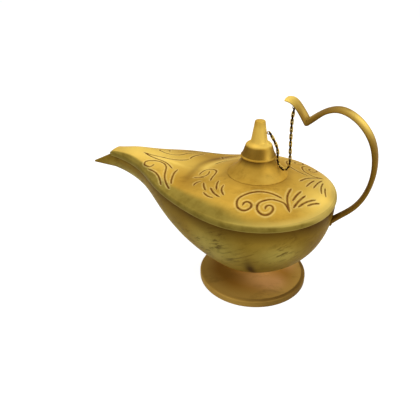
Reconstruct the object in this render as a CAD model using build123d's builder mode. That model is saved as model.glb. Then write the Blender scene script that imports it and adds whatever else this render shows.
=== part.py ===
from build123d import *
import os

# Genie oil lamp, in millimetres. The origin is on the lamp's upright axis, at the foot's base.
# X points to the handle, -X to the spout and Z up. The lamp is alike on both sides of the X-Z plane.

# Cover's outline, seen from above, and the rise of its rim towards the spout
cover_radius = 57.6
mouth_reach = 122.8
mouth_half_width = 6.3
spout_rise = 9.7

# Bowl and the spout's trough
cover_overhang = 1.7
bowl_depth = 57.8
bowl_wall = 1.6
bowl_fullness = 2.2
spout_fullness = 1.8
tip_length = 20.7
tip_drop = 0.9
tip_half_width = 0.5
tip_depth = 1.0
boss_radius = 16.0
boss_sink = 0.5
boss_thickness = 3.0

# Cover
cover_wall = 1.2
lip_height = 3.6
lip_tuck = 0.4
rim_nest = 1.6
rim_gap = 0.1
crown_height = 17.2
crown_fullness = 2.3
filler_radius = 16.8

# Neck and lid
collar_base_radius = 21.8
collar_edge = 0.7
collar_top_radius = 11.2
neck_rise = 11.2
collar_wall = 1.3
collar_bore_depth = 9.5
spigot_depth = 4.2
fit_gap = 0.1
lid_radius = 12.6
lid_seat_gap = 0.2
lid_flange = 1.3
lid_wall = 1.2
lid_waist_radius = 10.9
lid_waist_rise = 3.2
lid_shoulder_radius = 8.7
lid_shoulder_rise = 9.0
lid_top_radius = 6.4
lid_top_rise = 10.8
sleeve_wall = 0.9
sleeve_depth = 8.6
sleeve_grip = 3.2
sleeve_clearance = 0.08

# Finial, its stud and nut
finial_base_radius = 6.0
finial_waist_radius = 5.6
finial_waist_rise = 2.2
finial_top_radius = 3.6
finial_height = 15.2
finial_bevel = 0.8
stud_radius = 1.5
stud_grip = 6.0
stud_end = 0.8
thread_gap = 0.05
small_nut_width = 5.5
small_nut_height = 2.0

# Handle, its stud, washer and nut
handle_outreach = 20.8
handle_rise = 71.6
handle_width = 13.0
handle_thickness = 3.6
handle_boss_radius = 3.0
handle_boss_rise = 2.4
handle_stud_radius = 1.5
handle_stud_grip = 1.6
handle_stud_end = 0.8
washer_radius = 3.6
washer_thickness = 0.7
washer_gap = 0.15
handle_nut_width = 5.5
handle_nut_height = 2.0

# Chain and its two eyes
link_wire = 0.5
link_inner_width = 1.2
link_pitch = 2.6
link_gap = 0.18
wire_sides = 4
eye_wire = 0.6
eye_radius = 1.1
eye_stem = 1.6
lid_eye_rise = 7.2
handle_eye_drop = 3.9
chain_sag = 7.0

# Foot, its screw, gasket, washer and nut
foot_height = 16.5
foot_radius = 42.0
foot_band = 5.4
foot_round = 0.8
foot_wall = 2.2
foot_neck_radius = 17.0
foot_ring = 4.0
foot_web = 3.5
foot_hollow_rise = 3.2
screw_radius = 2.5
screw_head_radius = 4.8
screw_head_height = 2.8
screw_slot_width = 1.2
screw_slot_depth = 1.2
screw_end = 1.2
gasket_radius = 7.0
gasket_thickness = 1.2
foot_washer_radius = 6.5
foot_washer_thickness = 0.8
foot_nut_width = 8.0
foot_nut_height = 4.0
bore_gap = 0.1

# Wick, its tube and plate
wick_radius = 2.0
wick_setback = 1.8
wick_floor_gap = 3.6
wick_gap = 0.12
tube_wall = 0.5
tube_length = 26.0
tube_setback = 10.8
plate_setback = 20.8
plate_thickness = 1.2

# Shares of the outlines. Stations run from the lamp's axis to the mouth of the spout.
# The first one is the third one's mirror image, so that the sides leave the round back smoothly.
station_shares = [-0.08, 0, 0.08, 0.22, 0.38, 0.55, 0.72, 0.87, 0.96, 1]
width_shares = [0.979, 1, 0.979, 0.877, 0.725, 0.517, 0.232, 0.078, 0.018, 0]
rise_shares = [0, 0, 0, 0, 0.145, 0.453, 0.778, 0.97, 0.995, 1]
depth_shares = [0.985, 1, 0.985, 0.925, 0.815, 0.612, 0.39, 0.27, 0.222, 0.207]
centre_shares = [0.985, 1, 0.985, 0.82, 0.6, 0.587, 0.515, 0.44, 0.3, 0.244]
corner_share = 0.42
handle_end_share = 0.866
crown_shares = [0.97, 0.75, 0.5, 0.25, 0]
channel_end_share = 0.78
channel_depth_share = 0.9
flare_shares = [(0.3, 0.19), (0.6, 0.44), (0.84, 0.74)]
foot_curve_shares = [(0, 0), (0.13, 0.41), (0.42, 0.75), (1, 1)]
curl_shares = [
    (0.43, 0.809), (0.411, 0.836), (0.36, 0.908), (0.32, 0.956), (0.288, 0.984), (0.255, 0.998), (0.221, 1),
]
curl_width_shares = [1, 1, 1, 1, 1, 0.97, 0.85]
curl_thickness_shares = [0.5, 0.5, 0.6, 0.65, 0.65, 0.6, 0.45]
band_section_shares = [
    (0.62, 0.96), (0, 1.0), (-0.62, 0.96), (-1, 0.42), (-1, -0.42), (-0.62, -0.96), (0, -1.0), (0.62, -0.96),
    (1, -0.42), (1, 0.42),
]
loop_shares = [
    (0.39, 0.815), (0.411, 0.836), (0.475, 0.9), (0.55, 0.945), (0.66, 0.965), (0.76, 0.937), (0.845, 0.88),
    (0.918, 0.8), (0.97, 0.7), (0.995, 0.595), (1, 0.49), (0.985, 0.38), (0.948, 0.27), (0.88, 0.165),
    (0.79, 0.08),
]
loop_width_shares = [1, 1, 1, 1, 1, 1, 1, 0.98, 0.96, 0.94, 0.88, 0.76, 0.6, 0.46, 0.42, 0.46]
loop_thickness_shares = [0.5, 0.5, 0.45, 0.45, 0.5, 0.6, 0.72, 0.86, 0.97, 1, 1, 0.9, 0.75, 0.62, 0.58, 0.62]
wick_drop_share = 0.343
wick_bend_shares = (0.3257, 0.498)
wick_end_share = 0.135
falling_shares = [
    (0, 1), (0.244, 0.778), (0.379, 0.611), (0.44, 0.409), (0.459, 0.242), (0.52, 0.123), (0.629, 0.04),
    (0.77, 0),
]
rising_shares = [
    (0.918, 0.023), (1.014, 0.091), (1.017, 0.2), (0.988, 0.358), (0.966, 0.54), (0.953, 0.744), (0.96, 0.88),
    (1, 1),
]

# Places that follow from the sizes above
overrun = 1.0
bowl_radius = cover_radius - cover_overhang
floor_height = foot_height + boss_thickness
rim_height = foot_height + boss_sink + bowl_depth
mouth_rim = rim_height + spout_rise
collar_top_height = rim_height + crown_height + neck_rise


def along(start, end, share):
    """The value at a share of the way from start to end."""
    return start + (end - start) * share


def bowl_side(side, width, rim, depth, fullness):
    """One side of a bowl section, from the keel to the rim: a quarter of an oval of the given fullness."""
    hold = (8 * 0.5 ** (1 / fullness) - 4) / 3
    keel = rim - depth
    return Bezier((0, keel), (side * width * hold, keel), (side * width, rim - depth * hold),
                  (side * width, rim))


def bowl_section(reach, width, rim, depth, fullness, top):
    """A cross-section of the bowl, level with the upright plane of Y and Z, closed at the given top."""
    with BuildSketch(Plane.YZ.offset(-reach)) as section:
        with BuildLine():
            right = bowl_side(1, width, rim, depth, fullness)
            left = bowl_side(-1, width, rim, depth, fullness)
            Polyline(right @ 1, (width, top), (-width, top), left @ 1)
        make_face()
    return section.sketch


def bowl_form(inset, top_rise):
    """The bowl and trough as a solid, drawn in by an inset, its top the given rise above the rim."""
    sections = []
    for place, wide, rise, deep in zip(station_shares, width_shares, rise_shares, depth_shares):
        width = along(mouth_half_width, cover_radius, wide) - cover_overhang - inset
        rim = rim_height + spout_rise * rise
        fullness = along(bowl_fullness, spout_fullness, abs(place))
        sections.append(bowl_section(
            mouth_reach * place, width, rim, bowl_depth * deep - inset, fullness, rim + top_rise))
    with BuildSketch(Plane.YZ) as back:
        with BuildLine():
            curve = bowl_side(-1, bowl_radius - inset, rim_height, bowl_depth - inset, bowl_fullness)
            top = rim_height + top_rise
            Polyline(curve @ 1, (inset - bowl_radius, top), (0, top), curve @ 0)
        make_face()
    with BuildPart() as form:
        loft(sections)
        split(bisect_by=Plane.YZ, keep=Keep.BOTTOM)
        revolve(back.sketch, axis=Axis.Z, revolution_arc=180)
    return form.part


def trough_form(end_share, inset, end_width, end_depth, top_rise):
    """The straight, tapering trough beyond the mouth, drawn in by an inset at the mouth."""
    mouth_width = mouth_half_width - cover_overhang - inset
    mouth_depth = bowl_depth * depth_shares[-1] - inset
    end_reach = mouth_reach + tip_length * end_share
    end_rim = along(mouth_rim, rim_height - tip_drop, end_share)
    with BuildPart() as form:
        loft([
            bowl_section(mouth_reach, mouth_width, mouth_rim, mouth_depth, spout_fullness,
                         mouth_rim + top_rise),
            bowl_section(end_reach, end_width, end_rim, end_depth, spout_fullness, end_rim + top_rise),
        ], ruled=True)
    return form.part


def hex_nut(width, height, bore, plane):
    """A hexagon nut with its flat face on a plane."""
    with BuildPart() as nut:
        with BuildSketch(plane):
            RegularPolygon(width / 2, 6, major_radius=False)
            Circle(bore, mode=Mode.SUBTRACT)
        extrude(amount=height)
    return nut.part


def ring(inner, outer, height, plane):
    """A flat ring on a plane."""
    with BuildPart() as piece:
        with BuildSketch(plane):
            Circle(outer)
            Circle(inner, mode=Mode.SUBTRACT)
        extrude(amount=height)
    return piece.part


def rod(radius, length, plane):
    """A round rod that stands on a plane."""
    with BuildPart() as piece:
        with BuildSketch(plane):
            Circle(radius)
        extrude(amount=length)
    return piece.part


def wire_loop(length, width, wire, plane):
    """A closed loop of bent wire in a plane, its middle line eight-sided, its overall size as given."""
    reach = (length - wire) / 2
    half = (width - wire) / 2
    straight = reach - half * corner_share
    flat = half * (1 - corner_share)
    corners = [(0, half), (straight, half), (reach, flat), (reach, -flat), (straight, -half)]
    corners += [(-across, -up) for across, up in corners]
    with BuildLine(plane) as outline:
        Polyline(*corners, close=True)
    path = outline.wire()
    with BuildPart() as loop:
        with BuildSketch(Plane(origin=path @ 0, z_dir=path % 0)):
            RegularPolygon(wire / 2, wire_sides)
        sweep(path=path, transition=Transition.RIGHT)
    return loop.part


def eye(centre, stem_direction, stem_length):
    """A small eye of bent wire in the plane of X and Z, on a straight stem."""
    across = eye_radius * 2 + eye_wire
    start = Vector(*centre) + Vector(*stem_direction) * eye_radius
    with BuildPart() as piece:
        add(wire_loop(across, across, eye_wire, Plane(origin=centre, x_dir=(1, 0, 0), z_dir=(0, 1, 0))))
        with BuildSketch(Plane(origin=start, x_dir=(0, 1, 0), z_dir=stem_direction)):
            Circle(eye_wire / 2)
        extrude(amount=stem_length)
    return piece.part


# Wall of the bowl at the handle's end, as a plane that faces out
with BuildLine(Plane.XZ) as bowl_profile:
    bowl_side(1, bowl_radius, rim_height, bowl_depth, bowl_fullness)
bowl_curve = bowl_profile.edge()
wall_spot = bowl_curve @ handle_end_share
wall_normal = (bowl_curve % handle_end_share).rotate(Axis.Y, 90)
wall_face = Plane(origin=wall_spot, x_dir=(0, 1, 0), z_dir=wall_normal)

# Bowl: a thin wall with a flat boss for the foot, drawn out to a pointed trough at the spout
bowl_outside = bowl_form(0, rim_nest - rim_gap)
bowl_inside = bowl_form(bowl_wall, rim_nest + overrun)
trough_outside = trough_form(1, 0, tip_half_width, tip_depth, tip_depth / 2)
trough_inside = trough_form(
    channel_end_share, bowl_wall, tip_half_width, tip_depth * channel_depth_share, overrun)
with BuildPart() as bowl:
    add(bowl_outside)
    add(trough_outside)
    add(bowl_inside, mode=Mode.SUBTRACT)
    add(trough_inside, mode=Mode.SUBTRACT)
    add(rod(boss_radius, boss_thickness, Plane.XY.offset(foot_height)))
    with Locations((0, 0, floor_height)):
        Hole(screw_radius + bore_gap, depth=boss_thickness)
    add(rod(handle_stud_radius + bore_gap, bowl_wall + overrun * 2, wall_face.offset(-bowl_wall - overrun)),
        mode=Mode.SUBTRACT)
bowl.part.label = "bowl"


def crown_rise(across, width, centre):
    """Height of the cover's upper face over the rim: a flattened dome that starts at the lip's top."""
    return lip_height + (centre - lip_height) * (1 - (across / width) ** crown_fullness)


def cover_half(side, width, centre, rim):
    """Draws one side of the cover's section and returns the inner ends of its upper and lower lines."""
    inside = width - cover_overhang - bowl_wall
    upper = [(width * share, crown_rise(width * share, width, centre)) for share in crown_shares]
    lower = [(inside * share, crown_rise(inside * share, width, centre) - cover_wall)
             for share in crown_shares]
    lip = [(width - lip_tuck, 0), (width, lip_height / 2), upper[0]]
    seat = [lip[0], (width - cover_wall, 0), (width - cover_wall, rim_nest), (inside, rim_nest), lower[0]]
    lines = [[(side * across, rim + up) for across, up in points] for points in (upper, lower, lip, seat)]
    slope = (side * (upper[1][0] - upper[0][0]), upper[1][1] - upper[0][1])
    top = Spline(*lines[0], tangents=[slope, (-side, 0)])
    ceiling = Spline(*lines[1], tangents=[slope, (-side, 0)])
    ThreePointArc(*lines[2])
    Polyline(*lines[3])
    return top @ 1, ceiling @ 1


# Top cover: a domed shell with a rolled lip, drawn out over the spout behind a soft valley
cover_sections = []
for place, wide, rise, tall in zip(station_shares, width_shares, rise_shares, centre_shares):
    with BuildSketch(Plane.YZ.offset(-mouth_reach * place)) as cover_section:
        with BuildLine():
            for side in (1, -1):
                cover_half(side, along(mouth_half_width, cover_radius, wide), crown_height * tall,
                           rim_height + spout_rise * rise)
        make_face()
    cover_sections.append(cover_section.sketch)
with BuildSketch(Plane.YZ) as cover_back:
    with BuildLine():
        crown, ceiling = cover_half(-1, cover_radius, crown_height, rim_height)
        Line(crown, ceiling)
    make_face()
with BuildPart() as top_cover:
    loft(cover_sections)
    split(bisect_by=Plane.YZ, keep=Keep.BOTTOM)
    revolve(cover_back.sketch, axis=Axis.Z, revolution_arc=180)
    with Locations((0, 0, rim_height + crown_height)):
        Hole(filler_radius, depth=crown_height)
top_cover.part.label = "top_cover"


# Neck collar: a flared cone on the cover, bored for the lid's sleeve, with a spigot in the filler hole
spigot_radius = filler_radius - fit_gap
bore_radius = collar_top_radius - collar_wall
collar_base = rim_height + crown_rise(collar_base_radius, cover_radius, crown_height) + fit_gap
collar_seat = rim_height + crown_rise(filler_radius, cover_radius, crown_height) + fit_gap
collar_rise = collar_top_height - collar_base - collar_edge
with BuildPart() as neck_collar:
    with BuildSketch(Plane.XZ):
        with BuildLine():
            flare = Spline(
                (collar_base_radius, collar_base + collar_edge),
                *[(along(collar_base_radius, collar_top_radius, out),
                   collar_base + collar_edge + collar_rise * up) for out, up in flare_shares],
                (collar_top_radius, collar_top_height))
            Polyline(
                flare @ 1, (bore_radius, collar_top_height),
                (bore_radius, collar_top_height - collar_bore_depth),
                (spigot_radius - collar_wall, collar_base),
                (spigot_radius - collar_wall, collar_base - spigot_depth),
                (spigot_radius, collar_base - spigot_depth),
                (spigot_radius, collar_seat),
                (collar_base_radius, collar_base), flare @ 0)
        make_face()
    revolve(axis=Axis.Z)
neck_collar.part.label = "neck_collar"

# Lid: a stepped cap with a thin wall and a flange that rests on the collar
lid_base = collar_top_height + lid_seat_gap
sleeve_radius = bore_radius - sleeve_clearance
lid_top = lid_base + lid_top_rise
socket_radius = sleeve_radius + thread_gap
with BuildPart() as lid:
    with BuildSketch(Plane.XZ):
        with BuildLine():
            waist = Spline(
                (lid_radius - lid_flange / 2, lid_base + lid_flange),
                (lid_waist_radius, lid_base + lid_waist_rise),
                (lid_shoulder_radius, lid_base + lid_shoulder_rise))
            shoulder = Line(waist @ 1, (lid_top_radius, lid_top))
            Polyline(
                shoulder @ 1, (stud_radius + bore_gap, lid_top), (stud_radius + bore_gap, lid_top - lid_wall),
                (lid_top_radius - lid_wall, lid_top - lid_wall),
                (lid_shoulder_radius - lid_wall, lid_base + lid_shoulder_rise - lid_wall / 2),
                (lid_waist_radius - lid_wall * 1.5, lid_base + sleeve_grip),
                (socket_radius, lid_base + sleeve_grip), (socket_radius, lid_base), (lid_radius, lid_base),
                (lid_radius, lid_base + lid_flange / 2), waist @ 0)
        make_face()
    revolve(axis=Axis.Z)
lid.part.label = "lid"

# Lid sleeve: a short tube in the lid's socket, which slides in the collar's bore
with BuildPart() as lid_sleeve:
    add(ring(sleeve_radius - sleeve_wall, sleeve_radius, sleeve_depth + sleeve_grip - fit_gap,
             Plane.XY.offset(lid_base - sleeve_depth)))
lid_sleeve.part.label = "lid_sleeve"

# Finial: a tapering knob with a rounded end, tapped from below and drilled for the chain's eye
finial_top = lid_top + finial_height
lid_eye_height = lid_top + lid_eye_rise
finial_side = along(finial_waist_radius, finial_top_radius,
                    (lid_eye_rise - finial_waist_rise) / (finial_height - finial_waist_rise))
with BuildPart() as finial:
    with BuildSketch(Plane.XZ):
        with BuildLine():
            Polyline((0, finial_top), (0, lid_top), (finial_base_radius, lid_top),
                     (finial_waist_radius, lid_top + finial_waist_rise),
                     (finial_top_radius, finial_top), close=True)
        make_face()
    revolve(axis=Axis.Z)
    chamfer(finial.edges().group_by(Axis.Z)[-1], finial_bevel)
    with Locations(Plane.XY.offset(lid_top + stud_grip / 2)):
        Cylinder(stud_radius + thread_gap, stud_grip, mode=Mode.SUBTRACT)
    with BuildSketch(Plane.YZ.offset(finial_side - eye_stem)):
        with Locations((0, lid_eye_height)):
            Circle(eye_wire / 2 + thread_gap)
    extrude(amount=eye_stem + overrun, mode=Mode.SUBTRACT)
finial.part.label = "finial"

# Finial stud and its nut under the lid's crown
stud_bottom = lid_top - lid_wall - small_nut_height - stud_end
with BuildPart() as finial_stud:
    add(rod(stud_radius, lid_top + stud_grip - fit_gap - stud_bottom, Plane.XY.offset(stud_bottom)))
finial_stud.part.label = "finial_stud"
with BuildPart() as finial_nut:
    add(hex_nut(small_nut_width, small_nut_height, stud_radius + thread_gap,
                Plane.XY.offset(lid_top - lid_wall - small_nut_height)))
finial_nut.part.label = "finial_nut"

# Eye of the chain in the finial's side
lid_eye_reach = finial_side + eye_radius + eye_wire
with BuildPart() as lid_eye:
    add(eye((lid_eye_reach, 0, lid_eye_height), (-1, 0, 0), eye_stem + eye_wire - fit_gap))
lid_eye.part.label = "lid_eye"


# Handle: a flat band with rounded edges, bent to a loop with a sharp kink and a curled end
def handle_spot(shares):
    """A place on the handle's middle line from its shares of the reach and of the height."""
    out, up = shares
    return ((cover_radius + handle_outreach) * out, 0, along(wall_spot.Z, rim_height + handle_rise, up))


def band(spots, wides, thicks, kept_side):
    """A length of the handle from the kink on: ovals across a smooth line, joined and cut at the kink."""
    with BuildLine() as middle:
        Spline(*spots)
    line = middle.edge()
    ovals = []
    for spot, wide, thick in zip(spots, wides, thicks):
        outline = [(handle_width * wide * across / 2, handle_thickness * thick * up / 2)
                   for across, up in band_section_shares]
        with BuildSketch(Plane(origin=spot, x_dir=(0, 1, 0), z_dir=line.tangent_at(spot))) as oval:
            with BuildLine():
                Polyline(*outline, close=True)
            make_face()
        ovals.append(oval.sketch)
    with BuildPart() as piece:
        loft(ovals)
        split(bisect_by=Plane.YZ.offset(spots[1][0]), keep=kept_side)
    return piece.part


curl_spots = [handle_spot(shares) for shares in curl_shares]
loop_spots = [handle_spot(shares) for shares in loop_shares] + [tuple(wall_spot)]
curl = band(curl_spots, curl_width_shares, curl_thickness_shares, Keep.BOTTOM)
loop = band(loop_spots, loop_width_shares, loop_thickness_shares, Keep.TOP)
handle_boss = rod(handle_boss_radius, handle_boss_rise, wall_face.offset(fit_gap))
handle_bore = rod(
    handle_stud_radius + thread_gap, overrun + handle_stud_grip + fit_gap, wall_face.offset(-overrun))
eye_spot = Vector(*curl_spots[-3])
eye_bore = rod(eye_wire / 2 + thread_gap, handle_eye_drop, Plane(origin=eye_spot, z_dir=(0, 0, -1)))
with BuildPart() as handle:
    add(curl)
    add(loop)
    add(handle_boss)
    add(bowl_outside, mode=Mode.SUBTRACT)
    add(handle_bore, mode=Mode.SUBTRACT)
    add(eye_bore, mode=Mode.SUBTRACT)
handle.part.label = "handle"

# Handle's stud through the bowl's wall, with a washer and a nut inside
wall_inside = wall_face.offset(-bowl_wall - washer_gap)
handle_stack = bowl_wall + washer_gap + washer_thickness + handle_nut_height + handle_stud_end
with BuildPart() as handle_stud:
    add(rod(handle_stud_radius, handle_stack + handle_stud_grip, wall_face.offset(-handle_stack)))
handle_stud.part.label = "handle_stud"
with BuildPart() as handle_washer:
    add(ring(handle_stud_radius + bore_gap, washer_radius, washer_thickness,
             wall_inside.offset(-washer_thickness)))
handle_washer.part.label = "handle_washer"
with BuildPart() as handle_nut:
    add(hex_nut(handle_nut_width, handle_nut_height, handle_stud_radius + thread_gap,
                wall_inside.offset(-washer_thickness - handle_nut_height)))
handle_nut.part.label = "handle_nut"

# Eye of the chain under the handle's curl
handle_eye_centre = eye_spot - Vector(0, 0, handle_eye_drop)
with BuildPart() as handle_eye:
    add(eye(tuple(handle_eye_centre), (0, 0, 1), handle_eye_drop - eye_radius - fit_gap))
handle_eye.part.label = "handle_eye"

# Chain: oval links set square to each other along the hanging line between the two eyes
link_grip = (eye_wire + link_wire + link_gap) / 4
start_reach = lid_eye_reach + eye_radius - link_grip
end_reach = handle_eye_centre.X
end_height = handle_eye_centre.Z - eye_radius + link_grip
low_height = collar_top_height - chain_sag
falling = [(along(start_reach, end_reach, out), along(low_height, lid_eye_height, up))
           for out, up in falling_shares]
rising = [(along(start_reach, end_reach, out), along(low_height, end_height, up))
          for out, up in rising_shares]
with BuildLine(Plane.XZ) as chain_line:
    Spline(*falling, *rising)
hanging = chain_line.edge()
link_pairs = round((hanging.length / link_pitch - 1) / 2)
link_count = 2 * link_pairs + 1
joints = [hanging @ (step / link_count) for step in range(link_count + 1)]
link_length = hanging.length / link_count + link_gap
link = wire_loop(link_length + link_wire * 2, link_inner_width + link_wire * 2, link_wire, Plane.XY)
link_places = []
for step, (start, end) in enumerate(zip(joints, joints[1:])):
    sideways = (0, 1, 0) if step % 2 else Vector(0, 1, 0).cross(end - start)
    link_places.append(Plane(origin=(start + end) / 2, x_dir=end - start, z_dir=sideways))
with BuildPart() as chain:
    with Locations(*link_places):
        add(link)
chain.part.label = "chain"

# Foot: a flared hollow casting with a rim band, a flat ring to stand on and a web for the screw
foot_rise = foot_height - foot_band
with BuildPart() as foot:
    with BuildSketch(Plane.XZ):
        with BuildLine():
            flare = Spline(
                [(along(foot_neck_radius, foot_radius - foot_round, out), foot_height - foot_rise * down)
                 for out, down in foot_curve_shares])
            hollow_top = foot_height - foot_web
            hollow = Polyline(
                [(along(foot_neck_radius - foot_wall, foot_radius - foot_ring, out),
                  along(hollow_top, foot_hollow_rise, down)) for out, down in foot_curve_shares])
            Polyline(flare @ 1, (foot_radius, foot_band - foot_round), (foot_radius, foot_round / 2),
                     (foot_radius - foot_round / 2, 0), (foot_radius - foot_ring, 0), hollow @ 1)
            Polyline(hollow @ 0, (screw_radius + bore_gap, hollow_top),
                     (screw_radius + bore_gap, foot_height), flare @ 0)
        make_face()
    revolve(axis=Axis.Z)
foot.part.label = "foot"

# Foot's screw from below, with a gasket, a washer and a nut on the bowl's floor
stack_top = floor_height + gasket_thickness + foot_washer_thickness + foot_nut_height
with BuildPart() as foot_screw:
    add(rod(screw_head_radius, screw_head_height, Plane.XY.offset(hollow_top - screw_head_height)))
    chamfer(foot_screw.edges().group_by(Axis.Z)[0], screw_head_height / 4)
    add(rod(screw_radius, stack_top + screw_end - hollow_top, Plane.XY.offset(hollow_top)))
    with Locations((0, 0, hollow_top - screw_head_height + screw_slot_depth / 2)):
        Box(screw_head_radius * 2, screw_slot_width, screw_slot_depth, mode=Mode.SUBTRACT)
foot_screw.part.label = "foot_screw"
with BuildPart() as foot_gasket:
    add(ring(screw_radius + bore_gap, gasket_radius, gasket_thickness, Plane.XY.offset(floor_height)))
foot_gasket.part.label = "foot_gasket"
with BuildPart() as foot_washer:
    add(ring(screw_radius + bore_gap, foot_washer_radius, foot_washer_thickness,
             Plane.XY.offset(floor_height + gasket_thickness)))
foot_washer.part.label = "foot_washer"
with BuildPart() as foot_nut:
    add(hex_nut(foot_nut_width, foot_nut_height, screw_radius + thread_gap,
                Plane.XY.offset(stack_top - foot_nut_height)))
foot_nut.part.label = "foot_nut"

# Wick: a round cotton cord, straight from the mouth through its tube, then bent down to the bowl's floor
bend_out, bend_down = wick_bend_shares
wick_tip = Vector(wick_setback - mouth_reach, 0, mouth_rim - bowl_depth * depth_shares[-1] * wick_drop_share)
wick_bend = Vector(-mouth_reach * bend_out, 0, rim_height - bowl_depth * bend_down)
wick_end = Vector(-mouth_reach * wick_end_share, 0, floor_height + wick_floor_gap)
inward = (wick_bend - wick_tip).normalized()
with BuildPart() as wick:
    with BuildLine() as wick_line:
        Line(wick_tip, wick_bend)
        TangentArc(wick_bend, wick_end, tangent=inward)
    wick_path = wick_line.wire()
    with BuildSketch(Plane(origin=wick_path @ 0, z_dir=wick_path % 0)):
        Circle(wick_radius)
    sweep(path=wick_path)
wick.part.label = "wick"


def wick_plane(setback):
    """The plane square to the wick's straight stretch at a distance behind the mouth."""
    origin = wick_tip + inward * ((setback - wick_setback) / inward.X)
    return Plane(origin=origin, x_dir=(0, 1, 0), z_dir=inward)


# Wick tube, and the plate that holds it across the spout
tube_radius = wick_radius + wick_gap + tube_wall
with BuildPart() as wick_tube:
    add(ring(wick_radius + wick_gap, tube_radius, tube_length, wick_plane(tube_setback)))
wick_tube.part.label = "wick_tube"
spout_core = bowl_form(bowl_wall + fit_gap, rim_nest - rim_gap)
with BuildPart() as wick_plate:
    with BuildSketch(wick_plane(plate_setback)):
        Rectangle(cover_radius, cover_radius)
        Circle(tube_radius + thread_gap, mode=Mode.SUBTRACT)
    extrude(amount=plate_thickness)
    add(spout_core, mode=Mode.INTERSECT)
wick_plate.part.label = "wick_plate"

os.makedirs("parts", exist_ok=True)
pieces = (
    bowl, top_cover, neck_collar, lid, lid_sleeve, finial, finial_stud, finial_nut, lid_eye, chain, handle,
    handle_eye, handle_stud, handle_washer, handle_nut, foot, foot_screw, foot_gasket, foot_washer, foot_nut,
    wick_tube, wick_plate, wick,
)
for piece in pieces:
    export_step(piece.part, f"parts/{piece.part.label}.step")
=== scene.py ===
import math

import bmesh
import bpy
import numpy as np
from bpy.props import FloatProperty, FloatVectorProperty, IntProperty, PointerProperty
from bpy.types import Operator, Panel, PropertyGroup
from mathutils import Matrix, Vector


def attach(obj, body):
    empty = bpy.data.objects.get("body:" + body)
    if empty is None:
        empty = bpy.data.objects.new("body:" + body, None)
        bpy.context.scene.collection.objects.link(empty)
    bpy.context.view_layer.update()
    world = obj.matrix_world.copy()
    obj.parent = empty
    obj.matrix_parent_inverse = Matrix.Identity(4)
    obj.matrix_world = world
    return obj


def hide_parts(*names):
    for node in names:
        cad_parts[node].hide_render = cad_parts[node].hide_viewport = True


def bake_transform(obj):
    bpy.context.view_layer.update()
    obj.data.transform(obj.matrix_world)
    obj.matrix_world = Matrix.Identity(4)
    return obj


bl_info = {
    "name": "Genie oil lamp",
    "version": (1, 0, 0),
    "blender": (4, 5, 0),
    "location": "3D View > Sidebar > Lamp",
    "description": "A brass oil lamp with an engraved cover, a looped handle and a chained lid",
    "category": "Add Mesh",
}

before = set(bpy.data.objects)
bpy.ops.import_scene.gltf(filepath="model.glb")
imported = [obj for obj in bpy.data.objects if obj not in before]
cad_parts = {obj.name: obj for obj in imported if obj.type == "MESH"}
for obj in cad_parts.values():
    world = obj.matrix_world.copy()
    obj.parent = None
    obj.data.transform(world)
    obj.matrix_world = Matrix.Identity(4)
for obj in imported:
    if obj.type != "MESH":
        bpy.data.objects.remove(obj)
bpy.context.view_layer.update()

# All sizes below are in millimetres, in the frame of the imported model: the origin is on the lamp's
# upright axis at the foot's base, X points to the handle, -X to the spout and Z up. CROSSWAYS is square
# to the lamp's middle plane.
MILLIMETRE = 0.001
CROSSWAYS = np.array([0.0, 1.0, 0.0])

# Cover and bowl outlines: sizes, and shares of them at stations from the axis to the spout's mouth
MOUTH_REACH, MOUTH_HALF_WIDTH, COVER_RADIUS = 122.8, 6.3, 57.6
RIM_HEIGHT, SPOUT_RISE, CROWN_HEIGHT, CROWN_FULLNESS = 74.8, 9.7, 17.2, 2.3
LIP_HEIGHT, LIP_TUCK, LIP_SHARE, COVER_WALL, RIM_NEST, SHOULDER_SWELL = 3.6, 0.4, 0.03, 1.2, 1.6, 0.11
NEST_CLEARANCE, BURR_HEIGHT = 0.1, 0.05
COVER_OVERHANG, BOWL_DEPTH, BOWL_WALL, BOWL_FULLNESS, SPOUT_FULLNESS = 1.7, 57.8, 1.6, 2.2, 1.8
SPOUT_REACH, TIP_HEIGHT, TIP_HALF_WIDTH, TIP_DEPTH = 143.5, 73.9, 0.5, 1.0
FILLER_RADIUS, BOSS_RADIUS, BOSS_HEIGHT, BOSS_TOP = 16.8, 16.0, 16.5, 19.5
STATIONS = np.array([-0.08, 0, 0.08, 0.22, 0.38, 0.55, 0.72, 0.87, 0.96, 1])
WIDTHS = np.array([0.979, 1, 0.979, 0.877, 0.725, 0.517, 0.232, 0.078, 0.018, 0])
RISES = np.array([0, 0, 0, 0, 0.145, 0.453, 0.778, 0.97, 0.995, 1])
DEPTHS = np.array([0.985, 1, 0.985, 0.925, 0.815, 0.612, 0.39, 0.27, 0.222, 0.207])
CROWNS = np.array([0.985, 1, 0.985, 0.82, 0.6, 0.587, 0.515, 0.44, 0.3, 0.244])

# Neck, lid and finial. Outlines are points of (radius, height), or with a third value the rounding
# of a corner.
COLLAR_BASE_RADIUS, COLLAR_BASE, COLLAR_TOP_RADIUS, COLLAR_TOP, COLLAR_BORE = 21.8, 90.65, 11.2, 103.2, 9.9
SPIGOT_RADIUS, SPIGOT_BORE, SPIGOT_END = 16.7, 15.4, 86.5
NECK_FLARE = [(COLLAR_BASE_RADIUS, COLLAR_BASE + 0.3), (18.7, 93.3), (15.44, 96.5), (12.9, 100.0),
              (COLLAR_TOP_RADIUS, COLLAR_TOP - 0.3)]
NECK_INSIDE = [
    (COLLAR_TOP_RADIUS - 0.2, COLLAR_TOP, 0.2), (COLLAR_BORE, COLLAR_TOP, 0.3), (COLLAR_BORE, 93.7, 0.3),
    (SPIGOT_BORE, 90.5, 0.3), (SPIGOT_BORE, SPIGOT_END, 0.3), (SPIGOT_RADIUS, SPIGOT_END, 0.3),
    (SPIGOT_RADIUS, 91.2, 0), (COLLAR_BASE_RADIUS - 0.1, COLLAR_BASE, 0),
]
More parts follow.
